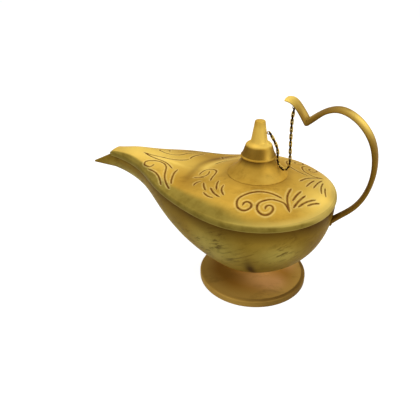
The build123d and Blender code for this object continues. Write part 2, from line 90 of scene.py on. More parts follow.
LID_BASE, LID_RADIUS, LID_BORE, LID_CROWN, STUD_HOLE = 103.4, 12.6, 9.87, 113.0, 1.6
LID_FLANGE = [(LID_RADIUS, LID_BASE, 0.35), (LID_RADIUS, 104.45, 0.4)]
LID_WAIST = [(12.15, 104.7), (11.4, 106.1), (10.75, 107.7), (10.2, 109.4), (9.7, 111.0), (9.3, 112.0)]
LID_SHOULDER = [(9.0, 112.4), (8.35, 112.95), (7.5, 113.45), (6.7, 113.9), (6.1, 114.4)]
LID_INSIDE = [
    (STUD_HOLE, 114.18, 0.1), (STUD_HOLE, LID_CROWN, 0.1), (5.2, LID_CROWN, 0.6), (7.5, 111.8, 0.8),
    (9.0, 106.6, 0.3), (LID_BORE, 106.6, 0.2), (LID_BORE, LID_BASE, 0.2),
]
FINIAL_BASE, FINIAL_TOP, FINIAL_MIDDLE_RADIUS = 114.2, 129.4, 5.0
FINIAL_SIDE = [(6.2, FINIAL_BASE), (5.95, 114.9), (5.65, 116.2), (4.95, 120.6), (4.25, 125.0),
               (3.78, 128.3)]
FINIAL_CROWN = [(3.5, FINIAL_TOP - 0.1, 1.1), (2.2, FINIAL_TOP, 0.5), (0, FINIAL_TOP, 0)]

# Handle: its outline's sizes, the shares of its route, and the boss on the bowl as (radius, rise)
HANDLE_REACH, HANDLE_END, HANDLE_TOP, HANDLE_WIDTH, HANDLE_THICKNESS = 78.4, 62.67, 146.4, 13.0, 3.6
BAND_FULLNESS, BAND_CORNERS, KINK_THICKNESS = 2.7, 40, 2.96
BOSS_SEAT, BOSS_NORMAL, STUB_LENGTH = (54.99, 0, HANDLE_END), (0.9879, 0, -0.1551), 2.2
HANDLE_BOSS = np.array([(0, 0.15), (2.9, 0.15), (3.0, 0.4), (2.9, 1.7), (2.5, 2.2), (1.6, 2.4), (0, 2.4)])
CURL = np.array([(0.411, 0.836), (0.36, 0.908), (0.32, 0.956), (0.288, 0.984), (0.255, 0.998), (0.221, 1)])
CURL_WIDTHS = np.array([1, 1, 1, 1, 0.97, 0.85])
CURL_THICKNESSES = np.array([0.8, 0.7, 0.65, 0.65, 0.6, 0.45])
LOOP = np.array([
    (0.411, 0.836), (0.475, 0.886), (0.55, 0.938), (0.66, 0.965), (0.76, 0.937), (0.845, 0.88),
    (0.918, 0.8), (0.97, 0.7), (0.995, 0.595), (1, 0.49), (0.985, 0.38), (0.948, 0.27), (0.88, 0.165),
    (0.79, 0.08), (0.7, 0),
])
LOOP_WIDTHS = np.array([1, 1, 1, 1, 1, 1, 0.98, 0.96, 0.94, 0.9, 0.84, 0.74, 0.64, 0.6, 0.66])
LOOP_THICKNESSES = np.array(
    [1.05, 0.98, 0.7, 0.55, 0.62, 0.74, 0.88, 0.98, 1, 1, 0.95, 0.88, 0.84, 0.9, 1.1])

# Chain: its ends and lowest height, the shares of its route on both sides, its links and its two eyes
CHAIN_START, CHAIN_END, CHAIN_LOW = (7.31, 121.4), (22.58, 140.38), 96.2
FALLING = np.array([(0, 1), (0.244, 0.778), (0.379, 0.611), (0.44, 0.409), (0.459, 0.242), (0.52, 0.123),
                    (0.629, 0.04), (0.77, 0)])
RISING = np.array([(0.918, 0.023), (1.014, 0.091), (1.017, 0.2), (0.988, 0.358), (0.966, 0.54),
                   (0.953, 0.744), (0.96, 0.88), (1, 1)])
CHAIN_LINKS, LINK_WIRE, LINK_OPENING, EYE_WIRE, EYE_RADIUS = 29, 1.1, 0.2, 0.6, 1.1
LID_EYE_CENTRE, HANDLE_EYE_CENTRE = (6.53, 0, 121.4), (22.58, 0, 141.15)

# Foot and wick
FOOT_RADIUS, FOOT_BAND, FOOT_NECK, FOOT_WALL, FOOT_RING = 42.0, 5.4, 17.0, 2.2, 4.0
FOOT_BORE, HOLLOW_TOP, HOLLOW_LOW = 2.6, 13.0, 3.2
FOOT_CURVE = np.array([(0, 0), (0.13, 0.41), (0.42, 0.75), (1, 1)])
WICK_RADIUS, WICK_TIP, WICK_BEND, WICK_END = 2.0, (-121.0, 80.396), (-39.996, 46.016), (-16.578, 23.1)
WICK_LAY, FRAYED_LENGTH, BURNT_LENGTH = 2.4, 2.0, 5.0

# Camera, fitted to the photograph: its angles in degrees, its place in metres, then lengths in pixels of
# the photograph and the sensor's width. RIGHT_WAY points to the photograph's right, seen from above.
AZIMUTH, ELEVATION, CAMERA_PLACE = 24.007, 29.894, (0.094597, -0.297360, 0.236709)
PICTURE_WIDTH, FOCAL_LENGTH, FRAME_RIGHT, FRAME_UP, SENSOR_WIDTH = 420, 474.5, 0.5, 0.8, 36.0
RIGHT_WAY = (0.91, 0.41)

# Floor and lights, in metres: each light's place, its width and the setting that holds its power
FLOOR_REACH, FLOOR_LEVEL, LIGHT_TARGET = 6.0, -0.0002, (0, 0, 0.07)
LIGHTS = (
    ("top_light", (-0.25, 0.15, 1.0), 0.8, "top_power"),
    ("side_light", (0.75, -0.25, 0.5), 0.45, "side_power"),
    ("rim_light", (0.5, 0.8, 0.42), 0.5, "rim_power"),
    ("fill_light", (-0.55, -0.85, 0.4), 0.7, "fill_power"),
)

# Places of painted highlights (the LIGHTS tables) and of darkening (the SHADES tables), most of it painted
# shade: each one's strength, centre and reach. On the cover these are seen from above.
BOWL_LIGHTS = [(1.15, (-12, -50, 53.8), (17, 30, 12)), (0.8, (31.5, -42.3, 54), (12, 30, 8))]
BOWL_SHADES = [(0.95, (13, -44, 37), (3.6, 30, 12)), (0.35, (52, -24, 58), (14, 20, 24))]
COVER_LIGHTS = [(0.8, (-92, 0), (42, 16)), (0.9, (50, -12), (13, 22)), (0.1, (8, -38), (16, 7))]
DECK_LIGHTS, COVER_SHADES = [(0.5, (-69, -5.8), (12, 2.2))], [(0.45, (-40, -24), (12, 10))]
NECK_LIGHTS = [(0.25, (13, -13, 93.5), (7, 7, 4))]
HANDLE_LIGHTS = [(1, (18, 0, 146), (6, 90, 8)), (1, (66, 0, 137), (13, 5, 10)),
                 (0.5, (30, 0, 136), (7, 4, 9))]
FOOT_LIGHTS = [(0.9, (25, -14, 8), (9, 9, 9)), (0.75, (12, -19, 11), (15, 8, 9))]
FOOT_SHADES = [(0.2, (-9, -21, 11), (12, 8, 9))]

# Engraved lines, in millimetres on the plan of the cover. Each is drawn through its points.
NEAR_SCROLL = [
    [(26.1, -25.6), (18.7, -24.4), (11.3, -25.7), (5.4, -29.2), (1.4, -33.7), (-0.3, -37.6), (0.2, -41.5),
     (2.3, -45.2), (5.0, -46.6), (7.4, -46.5), (9.4, -44.6), (10.2, -41.0), (8.2, -38.6), (6.0, -38.4),
     (4.6, -40.2), (4.9, -42.7)],
    [(34.0, -35.2), (31.7, -32.2), (28.8, -29.6), (24.5, -29.2), (19.9, -30.2), (16.6, -32.8),
     (14.2, -35.8), (13.8, -40.5), (15.2, -43.3), (17.3, -44.9), (20.3, -45.1), (22.5, -43.7),
     (23.9, -41.0), (23.9, -38.0), (22.6, -36.0), (20.5, -36.1), (19.2, -38.1), (19.4, -40.6)],
    [(34.0, -35.2), (32.0, -31.0), (29.9, -26.4), (28.2, -18.6), (28.4, -12.0)],
    [(33.0, -24.2), (33.6, -17.6), (35.1, -10.5)],
    [(35.4, -30.7), (36.5, -22.8), (38.9, -13.7)],
    [(38.0, -27.9), (41.3, -19.9), (45.9, -13.3)],
    [(42.8, -23.0), (45.7, -18.2), (49.0, -14.3)],
]
SIDE_SCROLL = [
    [(-40.3, -12.8), (-39.8, -6.7), (-37.9, -3.6), (-35.0, -2.7), (-31.1, -4.1), (-28.8, -8.5),
     (-28.7, -13.4), (-28.6, -17.1), (-27.9, -20.6)],
    [(-38.5, -14.8), (-35.4, -14.4), (-34.1, -10.3), (-35.1, -6.1)],
    [(-42.7, -17.9), (-39.3, -16.5), (-34.8, -16.6)],
    [(-38.0, -27.7), (-37.5, -23.8), (-34.6, -21.5)],
    [(-32.1, -23.3), (-29.6, -28.1), (-26.4, -32.4)],
    [(-27.0, -34.6), (-22.3, -38.3), (-17.8, -39.9)],
    [(-24.1, -29.1), (-18.8, -35.2), (-13.2, -38.7)],
    [(-21.7, -20.5), (-20.8, -26.1), (-18.7, -31.1)],
    [(-15.9, -25.3), (-15.5, -29.8), (-11.2, -36.5)],
]
DECK_LANCES = [
    [(-91.4, -3.7), (-81.5, -6.9), (-71.7, -8.6), (-66.2, -11.0), (-62.1, -14.0)],
    [(-92.5, -3.3), (-85.9, -3.8), (-78.1, -3.4), (-69.1, -2.3), (-62.2, 1.3), (-57.9, 6.4)],
]
DECK_SCROLL = [
    [(-53.1, -36.0), (-58.9, -30.3), (-63.1, -23.9), (-65.2, -18.5), (-67.2, -13.9), (-70.4, -11.1),
     (-74.5, -10.0), (-78.7, -10.3), (-82.4, -11.5), (-85.0, -13.2), (-84.9, -15.8), (-81.4, -18.0),
     (-78.1, -17.6), (-77.2, -14.5)],
    [(-79.0, -20.7), (-73.8, -22.2), (-69.1, -24.6), (-64.7, -28.8), (-60.7, -33.9)],
    [(-58.0, -12.9), (-58.2, -18.3), (-57.0, -23.7), (-55.6, -28.0), (-54.1, -30.9)],
]
FAR_STROKES = [[(-36.5, 7.5), (-33.6, 13.5), (-30.0, 18.5)], [(-32.0, 19.5), (-28.0, 23.5), (-23.0, 26.0)]]
DECK_MIDDLE = -2.5
FAR_SCROLL_TURN = -20.0


def smooth_curve(knots, values, at):
    """Cubic pieces through the values at the knots, with matching slope and bend where they meet and
    no bend at the two ends; read at every place in at."""
    knots, values, at = np.asarray(knots, float), np.asarray(values, float), np.asarray(at, float)
    gaps = np.diff(knots)
    slopes = np.diff(values, axis=0) / gaps.reshape((-1,) + (1,) * (values.ndim - 1))
    matrix = np.diag(np.r_[1, 2 * (gaps[:-1] + gaps[1:]), 1])
    matrix += np.diag(np.r_[0, gaps[1:]], 1) + np.diag(np.r_[gaps[:-1], 0], -1)
    target = np.zeros_like(values)
    target[1:-1] = 6 * np.diff(slopes, axis=0)
    bends = np.linalg.solve(matrix, target)
    piece = np.clip(np.searchsorted(knots, at) - 1, 0, len(gaps) - 1)
    shape = at.shape + (1,) * (values.ndim - 1)
    gap = gaps[piece].reshape(shape)
    before = (knots[piece + 1] - at).reshape(shape) / gap
    after = 1 - before
    bent = (before**3 - before) * bends[piece] + (after**3 - after) * bends[piece + 1]
    return before * values[piece] + after * values[piece + 1] + bent * gap**2 / 6


def walked_along(points):
    """The distance walked from the first point to each point, along straight lines."""
    return np.r_[0, np.cumsum(np.linalg.norm(np.diff(points, axis=0), axis=1))]


def read_columns(wanted, walked, columns):
    """Each column's values at the wanted distances, in straight lines between the walked ones."""
    return [np.interp(wanted, walked, column) for column in columns]


def full_turn(count):
    """Evenly spaced angles once round, without the last that would repeat the first."""
    return np.linspace(0, 2 * math.pi, count, endpoint=False)


def path_through(points, count, ease=0.0):
    """Evenly spaced places on a smooth curve through points, with the curve's unit direction and the
    length walked there. The curve's own variable is the distance along the straight lines between the
    points. An ease moves the places closer together towards both ends, by a cosine's half turn."""
    points = np.asarray(points, float)
    walked = walked_along(points)
    fine = smooth_curve(walked, points, np.linspace(0, walked[-1], 40 * len(points)))
    length = walked_along(fine)
    share = np.linspace(0, 1, count)
    wanted = length[-1] * (share * (1 - ease) + ease * (1 - np.cos(math.pi * share)) / 2)
    places = np.stack(read_columns(wanted, length, fine.T), -1)
    heading = np.stack(read_columns(wanted, length, np.gradient(fine, length, axis=0).T), -1)
    return places, heading / np.linalg.norm(heading, axis=1, keepdims=True), wanted


def held(values):
    """Values held between 0 and 1."""
    return np.clip(values, 0, 1)


def part_way(start, end, share):
    """What lies a share of the way from a start to an end, for numbers and for points."""
    return np.asarray(start) + np.subtract(end, start) * share


def upright(places):
    """Places in the lamp's middle plane from their two values, along the lamp and up."""
    return np.stack([places[:, 0], 0 * places[:, 0], places[:, 1]], -1)


def spot(places, centre, reach):
    """1 at a centre and smoothly less away from it: e to the minus squared distance, where the distance
    along each direction is measured in that direction's reach."""
    return np.exp(-(((places - np.array(centre)) / np.array(reach)) ** 2).sum(-1))


def spots(places, table):
    """The sum of a table's spots, each times its strength."""
    return sum(strength * spot(places, centre, reach) for strength, centre, reach in table)


def ridge(distance, reach):
    """1 where a distance is nothing and smoothly less on both sides."""
    return np.exp(-((distance / reach) ** 2))


def rightness(places, radius):
    """How far places lie to the photograph's right of the axis, as a share of a radius."""
    return (places[..., 0] * RIGHT_WAY[0] + places[..., 1] * RIGHT_WAY[1]) / radius


def near_side(places):
    """Places moved to the photographed side, where y is under 0."""
    return places * (1, 0, 1) - np.abs(places * (0, 1, 0))


def cap_on(ring):
    """A grid that closes a ring with a fan to its middle."""
    return np.stack([ring, np.broadcast_to(ring.mean(0), ring.shape)])


def station_values(x, shares, low, high):
    """A size at each x from its shares at the stations; behind the axis it keeps its value there."""
    return low + (high - low) * smooth_curve(STATIONS, shares, np.clip(-x / MOUTH_REACH, 0, 1))


def rim_line(x):
    """Height of the rim's edge along the lamp."""
    return RIM_HEIGHT + station_values(x, RISES, 0, SPOUT_RISE)


def half_width(x):
    """Half the cover's width along the lamp, ahead of its axis."""
    return station_values(x, WIDTHS, MOUTH_HALF_WIDTH, COVER_RADIUS)


def cover_top(x, y):
    """Height of the cover: a flattened dome whose rise over the lip falls with the power 2.3 of the
    distance from the middle line, or from the axis behind it. A swell of a ninth of that rise, the squared
    sine of half a turn times the distance's fourth power, fills out its shoulder."""
    across = np.minimum(np.where(x > 0, np.hypot(x, y), np.abs(y)) / half_width(x), 1.0)
    crown = station_values(x, CROWNS, 0, CROWN_HEIGHT) - LIP_HEIGHT
    swell = SHOULDER_SWELL * np.sin(math.pi * across**4) ** 2
    return rim_line(x) + LIP_HEIGHT + crown * (1 - across**CROWN_FULLNESS + swell)


def grid_faces(rows, columns, wrap_rows, wrap_columns):
    """Corner numbers of the four-sided faces between neighbours on a grid."""
    row, column = np.meshgrid(
        np.arange(rows - (not wrap_rows)), np.arange(columns - (not wrap_columns)), indexing="ij")
    below, beside = (row + 1) % rows, (column + 1) % columns
    corners = [row * columns + column, below * columns + column, below * columns + beside,
               row * columns + beside]
    return np.stack(corners, -1).reshape(-1, 4)


def build_mesh(name, patches, sharp, fields):
    """One object from grids of points in millimetres. Each patch is a grid with two flags that say
    whether its rows and columns close. Shared edges and poles are merged, and faces turned outwards.
    Edges sharper than an angle in degrees stay sharp, and fields are numbers stored on the points."""
    points, faces, first = [], [], 0
    for grid, wrap_rows, wrap_columns in patches:
        faces.append(grid_faces(*grid.shape[:2], wrap_rows, wrap_columns) + first)
        points.append(grid.reshape(-1, 3) * MILLIMETRE)
        first += len(points[-1])
    points, faces = np.concatenate(points), np.concatenate(faces)
    mesh = bpy.data.meshes.new(name)
    mesh.vertices.add(len(points))
    mesh.vertices.foreach_set("co", points.ravel())
    mesh.loops.add(faces.size)
    mesh.loops.foreach_set("vertex_index", faces.ravel())
    mesh.polygons.add(len(faces))
    mesh.polygons.foreach_set("loop_start", np.arange(0, faces.size, 4))
    mesh.update(calc_edges=True)
    for field, values in fields.items():
        layer = mesh.attributes.new(field, "FLOAT", "POINT")
        layer.data.foreach_set("value", np.concatenate([v.ravel() for v in values]).astype(np.float32))
    shape = bmesh.new()
    shape.from_mesh(mesh)
    bmesh.ops.remove_doubles(shape, verts=shape.verts, dist=2e-6)
    bmesh.ops.dissolve_degenerate(shape, edges=shape.edges, dist=1e-7)
    bmesh.ops.recalc_face_normals(shape, faces=shape.faces)
    shape.to_mesh(mesh)
    shape.free()
    mesh.validate()
    mesh.shade_smooth()
    mesh.set_sharp_from_angle(angle=math.radians(sharp))
    piece = bpy.data.objects.new(name, mesh)
    bpy.context.scene.collection.objects.link(piece)
    return piece


def dress(piece, body, slot, material, *nodes):
    """Gives a piece its material, its body and the CAD nodes that it stands for. The slot is not used."""
    piece.data.materials.append(material)
    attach(piece, body)
    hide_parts(*nodes)


def soften(corners, steps=5):
    """A closed outline from corners (x, y, radius): each rounded corner becomes the curve of the second
    degree between the points that lie its radius away on both sides, but never past a side's middle."""
    outline = []
    for number, (x, y, radius) in enumerate(corners):
        corner = np.array([x, y], float)
        if radius == 0:
            outline.append(corner[None])
            continue
        ends = []
        for other in (corners[number - 1], corners[(number + 1) % len(corners)]):
            away = np.array(other[:2], float) - corner
            distance = np.linalg.norm(away)
            ends.append(corner + away * min(radius / distance, 0.48))
        share = np.linspace(0, 1, steps)[:, None]
        outline.append((1 - share) ** 2 * ends[0] + 2 * share * (1 - share) * corner + share**2 * ends[1])
    return np.concatenate(outline)


def curve_corners(points, count):
    """Corners with no rounding of their own along a smooth curve through points."""
    return [(x, y, 0) for x, y in path_through(points, count)[0]]


def turned(outline):
    """A grid that spins an outline of (radius, height) once round the upright axis."""
    angle = full_turn(192)[:, None]
    radius, height = outline[None, :, 0], outline[None, :, 1]
    return np.stack([radius * np.cos(angle), radius * np.sin(angle), height + 0 * angle], -1)


def carried(centres, first, second, outline):
    """A grid that carries an outline along centres: a centre plus the outline's two values times the
    two cross directions there. Outline and directions are one for all, or one for each centre."""
    outline = np.broadcast_to(outline, (len(centres),) + outline.shape[-2:])
    first, second = [np.broadcast_to(way, centres.shape)[:, None] for way in (first, second)]
    return centres[:, None] + outline[..., :1] * first + outline[..., 1:] * second


def oval(width, thickness, count, fullness=2.0):
    """A closed oval: width times the cosine and thickness times the sine of a turn, each raised to the
    power 2 / fullness with its sign kept."""
    turn = full_turn(count)
    cosine, sine = np.cos(turn), np.sin(turn)
    flat = np.stack([np.sign(cosine) * np.abs(cosine) ** (2 / fullness),
                     np.sign(sine) * np.abs(sine) ** (2 / fullness)], -1)
    return flat * np.stack(np.broadcast_arrays(width, thickness), -1)[..., None, :] / 2


class Value:
    """A socket of a material's node tree that takes part in sums written in Python."""

    def __init__(self, nodes, socket):
        self.nodes, self.socket = nodes, socket

    def maths(self, operation, *terms):
        return self.nodes.node("ShaderNodeMath", {"operation": operation}, dict(enumerate(terms)))

    def __add__(self, other):
        return self.maths("ADD", self, other)

    def __sub__(self, other):
        return self.maths("SUBTRACT", self, other)

    def __rsub__(self, other):
        return self.maths("SUBTRACT", other, self)

    def __mul__(self, other):
        return self.maths("MULTIPLY", self, other)

    __radd__ = __add__

    def clamped(self):
        return self.nodes.node("ShaderNodeClamp", {}, {0: self})

    def between(self, low, high):
        """0 at or under low, 1 at or over high and a soft step between them."""
        return self.nodes.node("ShaderNodeMapRange", {"interpolation_type": "SMOOTHSTEP"},
                               {"Value": self, "From Min": low, "From Max": high})


class Nodes:
    """A node tree, in a material or in the world, and the one way that nodes are added to it."""

    def __init__(self, tree):
        self.tree = tree

    def node(self, kind, settings, inputs, output=0):
        """Adds a node: its settings first, then its sockets' values or links."""
        node = self.tree.nodes.new(kind)
        for setting, value in settings.items():
            setattr(node, setting, value)
        for socket, value in inputs.items():
            self.feed(node.inputs[socket], value)
        return Value(self, node.outputs[output]) if node.outputs else node

    def feed(self, socket, value):
        """Links a Value to a socket, or writes a plain number, colour or vector on it."""
        if isinstance(value, Value):
            self.tree.links.new(value.socket, socket)
        else:
            socket.default_value = value


class Paint(Nodes):
    """A new material, its node tree and the patterns that its surfaces use."""

    def __init__(self, name):
        self.material = bpy.data.materials.new(name)
        self.material.use_nodes = True
        super().__init__(self.material.node_tree)
        self.shader = self.tree.nodes["Principled BSDF"]
        self.output = self.tree.nodes["Material Output"]

    def place(self, stretch=(1, 1, 1), turn=(0, 0, 0)):
        """The point on the object, turned and then stretched."""
        point = self.node("ShaderNodeTexCoord", {}, {}, "Object")
        return self.node("ShaderNodeMapping", {"vector_type": "TEXTURE"}, {
            "Vector": point, "Scale": tuple(1 / value for value in stretch), "Rotation": turn})

    def noise(self, scale, detail=4.0, rough=0.55, stretch=(1, 1, 1), turn=(0, 0, 0), warp=0.0):
        """Cloudy noise whose features are about 1 / scale metres wide, around a half."""
        return self.node("ShaderNodeTexNoise", {}, {
            "Vector": self.place(stretch, turn), "Scale": scale, "Detail": detail, "Roughness": rough,
            "Distortion": warp})

    def field(self, name):
        """A number stored on the piece's points."""
        return self.node("ShaderNodeAttribute", {"attribute_name": name}, {}, "Fac")

    def uneven(self, name, cloud):
        """A stored number, more where a cloud is over nothing and less where it is under."""
        return (self.field(name) * (1 + cloud)).clamped()

    def blend(self, mask, under, over):
        """The colour under, painted over by the other where the mask is 1."""
        return self.node("ShaderNodeMix", {"data_type": "RGBA"}, {0: mask, 6: under, 7: over}, 2)

    def finish(self, colour, metallic, roughness, height, depth):
        """Feeds the shader, with a height whose 0 to 1 stands for a depth in metres, and returns the
        material. The sheen over its colour is weak and golden, because the lamp is nearly matt."""
        self.feed(self.shader.inputs["Base Color"], colour)
        self.feed(self.shader.inputs["Metallic"], metallic)
        self.feed(self.shader.inputs["Roughness"], roughness)
        self.feed(self.shader.inputs["Specular IOR Level"], 0.03)
        self.feed(self.shader.inputs["Specular Tint"], (0.62, 0.48, 0.22, 1.0))
        bump = self.node("ShaderNodeBump", {}, {"Height": height, "Distance": depth, "Strength": 1.0})
        self.feed(self.shader.inputs["Normal"], bump)
        return self.material


def tone(red, green, blue):
    """A colour chosen on the 0 to 255 scale, as the shader's own linear values."""
    share = np.array([red, green, blue]) / 255
    linear = np.where(share <= 0.04045, share / 12.92, ((share + 0.055) / 1.055) ** 2.4)
    return tuple(linear.tolist()) + (1.0,)


def smudged(paint, light, middle, dark, scale):
    """Metal that has darkened unevenly: broad clouds between two tones, then smaller dark smudges."""
    clouds = paint.noise(scale, 4, 0.6, warp=0.3).between(0.34, 0.68)
    smudges = paint.noise(scale * 4.2, 6, 0.7, stretch=(0.55, 1, 0.45), turn=(0, 0, 0.5)).between(0.5, 0.76)
    return paint.blend(smudges * 0.55, paint.blend(clouds * 0.75, middle, light), dark)


def worn_height(paint):
    """Fine dents and hand-rubbed scratches as a height from 0 to 1."""
    dents = paint.noise(252, 3, 0.5)
    scratches = paint.noise(900, 2, 0.7, stretch=(1, 0.12, 1), turn=(0.2, 0.3, 0.9))
    return dents * 0.6 + scratches * 0.4


def cover_material(colours):
    """Engraved gold: painted shade in the valley, on the dome and round the neck, painted highlights in
    bands and on the deck, olive towards the edge, a painted highlight on the rounding over an olive lip and
    along the lip's lower edge, and light halos beside the dark lines where the graver went."""
    paint = Paint("engraved_brass")
    line, halo, lip = paint.field("line"), paint.field("halo"), paint.field("lip")
    cloud = paint.noise(34, 4, 0.6) - 0.5
    gold = smudged(paint, colours.gold_light, colours.gold, colours.gold_dark, 24.0)
    # Painted shade: dark gold in the valley, on the dome and round the neck
    colour = paint.blend(paint.uneven("dark", cloud), gold, colours.gold_dark)
    # Painted highlights: light gold beside the valley, over the deck and on the dome
    colour = paint.blend(paint.uneven("light", cloud), colour, colours.highlight_gold)
    olive = paint.blend(paint.noise(95, 5, 0.66).between(0.4, 0.7) * 0.7, colours.olive, colours.olive_dark)
    edge = (paint.field("olive") * 1.5 + cloud * 0.6).between(0.05, 0.8)
    colour = paint.blend(edge * 0.95, colour, olive)
    colour = paint.blend((lip + cloud * 0.12).between(0.05, 0.3), colour, olive)
    # Painted highlights on the lip: on its rounding towards the handle, and along its lower edge
    pale = (paint.field("pale") + cloud * 0.4).between(0.1, 1.0)
    colour = paint.blend(pale * 0.66, colour, colours.lip_highlight)
    colour = paint.blend(lip.between(0.8, 0.95) * 0.3, colour, colours.lip_highlight)
    worn = paint.noise(420, 3, 0.6).between(0.3, 0.62)
    colour = paint.blend(halo * (0.2 + worn * 0.35), colour, colours.halo)
    colour = paint.blend(line.between(0.15, 0.8) * (0.98 - worn * 0.25), colour, colours.line)
    rough = 0.42 + paint.noise(50, 4).between(0.35, 0.7) * 0.14 + line * 0.25
    return paint.finish(colour, 0.2 - line * 0.15, rough.clamped(), worn_height(paint), 0.00007)


def bowl_material(colours):
    """Dark bowl: painted shade under the rim, along the keel and on its sides, painted highlights in olive
    between, dark streaks.
    """
    paint = Paint("smoked_brass")
    cloud = paint.noise(40, 4, 0.62, warp=0.3) - 0.5
    streaks = paint.noise(95, 4, 0.6, stretch=(1, 1, 0.16)).between(0.5, 0.75)
    smudges = paint.noise(120, 6, 0.66, stretch=(1, 1, 0.6), turn=(0, 0.5, 0)).between(0.56, 0.72)
    colour = paint.blend((cloud * 2.4 + 0.5).clamped(), colours.bowl, colours.bowl_warm)
    # Painted highlights where the patch field is
    colour = paint.blend(paint.uneven("patch", cloud * 1.6), colour, colours.bowl_highlight)
    # Painted shade where the shade field is, with a darker streak on the sides
    colour = paint.blend(paint.uneven("shade", cloud), colour, colours.bowl_dark)
    colour = paint.blend(streaks * 0.25, colour, colours.gold_dark)
    scuffs = paint.noise(420, 5, 0.66, stretch=(0.14, 0.5, 1), turn=(0, -0.5, 0)).between(0.48, 0.64)
    worn = paint.noise(60, 3, 0.5).between(0.36, 0.6)
    colour = paint.blend(scuffs * worn * (0.25 + paint.field("patch") * 0.75), colour, colours.bowl_dark)
    colour = paint.blend(smudges * 0.4, colour, colours.bowl_dark)
    rough = 0.44 + (cloud + 0.5) * 0.14 + smudges * 0.1
    return paint.finish(colour, 0.07, rough.clamped(), worn_height(paint), 0.00007)


def lid_material(colours):
    """Turned gold parts: turning lines round the axis, painted shade on the lid's waist and on the neck
    under the lid, and painted highlights on the lid's shoulder, on the neck and on the finial.
    """
    paint = Paint("turned_brass")
    gold = smudged(paint, colours.gold_light, colours.gold, colours.gold_dark, 40.0)
    # Painted highlights where the light field is
    colour = paint.blend(paint.field("light"), gold, colours.highlight_gold)
    # Painted shade where the shade field is
    colour = paint.blend(paint.field("shade") * 0.85, colour, colours.bowl_dark)
    rings = paint.noise(900, 2, 0.5, stretch=(0.04, 0.04, 1))
    rough = 0.5 + paint.noise(70, 4).between(0.4, 0.7) * 0.12
    return paint.finish(colour, 0.3, rough.clamped(), rings * 0.6 + worn_height(paint) * 0.4, 0.00005)


def foot_material(colours):
    """Copper-brown foot with a rosy painted highlight, painted shade, soft dark smudges and a golden-brown
    rim band.
    """
    paint = Paint("copper_brass")
    cloud = paint.noise(30, 3, 0.5, warp=0.3) - 0.5
    smudges = paint.noise(90, 6, 0.7, stretch=(0.5, 1, 1.4), turn=(0, 0, 0.4)).between(0.52, 0.76)
    colour = paint.blend((cloud * 2 + 0.5).clamped(), colours.copper_dark, colours.copper)
    # A rosy painted highlight where the glow field is
    colour = paint.blend(paint.uneven("glow", cloud), colour, colours.copper_highlight)
    colour = paint.blend(paint.field("band") * 0.8, colour, colours.foot_edge)
    # Painted shade where the shade field is
    colour = paint.blend(paint.uneven("shade", cloud), colour, colours.bowl_dark)
    colour = paint.blend(smudges * 0.32, colour, colours.bowl_dark)
    rough = 0.42 + (cloud + 0.5) * 0.12
    return paint.finish(colour, 0.18, rough.clamped(), worn_height(paint), 0.00007)


def handle_material(colours):
    """Handle: bronze-brown, with painted highlights on its curl and on the shoulder of its loop, and
    painted shade on its inner side and along the loop's first rise.
    """
    paint = Paint("handle_brass")
    cloud = paint.noise(46, 4, 0.6) - 0.5
    smudges = paint.noise(150, 5, 0.62, stretch=(1, 1, 0.5)).between(0.56, 0.74)
    colour = paint.blend((cloud * 2 + 0.5).clamped(), colours.bronze, colours.bronze_light)
    # Painted highlights where the glow field is
    colour = paint.blend(paint.uneven("glow", cloud * 0.6), colour, colours.highlight_gold)
    # Painted shade on the inner side where the inner field is
    colour = paint.blend(paint.field("inner") * 0.5, colour, colours.bowl_dark)
    colour = paint.blend(smudges * 0.35, colour, colours.bowl_dark)
    rough = 0.48 + (cloud + 0.5) * 0.16
    return paint.finish(colour, 0.22, rough.clamped(), worn_height(paint), 0.00006)


def chain_material(colours):
    """Chain wire: every second link dark with oxide, and dark inner sides on the others."""
    paint = Paint("chain_brass")
    inside = paint.field("inside")
    grime = (inside + (paint.noise(700, 3) - 0.5) * 0.6).between(0.25, 0.6)
    colour = paint.blend(grime, colours.chain, colours.oxide)
    return paint.finish(colour, 0.5 - grime * 0.4, 0.35 + grime * 0.3, paint.noise(2500, 2), 0.00002)


def hardware_material(colours):
    """Machined brass of the hidden fittings: fine turning lines and dull spots."""
    paint = Paint("machined_brass")
    dull = paint.noise(160, 4, 0.6).between(0.42, 0.68)
    colour = paint.blend(dull, colours.chain, colours.gold_dark)
    rings = paint.noise(1400, 2, 0.5, stretch=(0.05, 0.05, 1))
    return paint.finish(colour, 0.85, 0.28 + dull * 0.2, rings, 0.00004)


def leather_material():
    """Oiled leather with a pebbled grain."""
    paint = Paint("oiled_leather")
    grain = paint.node("ShaderNodeTexVoronoi", {"feature": "DISTANCE_TO_EDGE"},
                       {"Vector": paint.place(), "Scale": 1300.0}, "Distance").between(0.02, 0.3)
    stain = paint.noise(200, 4).between(0.35, 0.7)
    colour = paint.blend(stain, tone(96, 60, 34), tone(52, 32, 18))
    return paint.finish(colour, 0.0, 0.62 - stain * 0.15, grain, 0.00015)


def wick_material():
    """Cotton strands: darker between the strands and in some fibres, and singed at the burning end."""
    paint = Paint("twisted_cotton")
    groove, burnt = paint.field("groove"), paint.field("burnt")
    cotton = paint.blend(groove, tone(226, 214, 184), tone(150, 128, 92))
    fibres = paint.noise(2600, 3, 0.6, stretch=(1, 1, 0.3))
    cotton = paint.blend(fibres.between(0.45, 0.7) * 0.3, cotton, tone(190, 172, 132))
    colour = paint.blend(burnt.between(0.1, 0.9), cotton, tone(30, 24, 18))
    return paint.finish(colour, 0.0, 0.9, fibres, 0.0001)


def seen_directly(nodes):
    """1 for rays from the camera, mirror-like rays and rays through glass, otherwise 0."""
    rays = [nodes.node("ShaderNodeLightPath", {}, {}, name)
            for name in ("Is Camera Ray", "Is Glossy Ray", "Is Transmission Ray")]
    return (rays[0] + rays[1] + rays[2]).clamped()


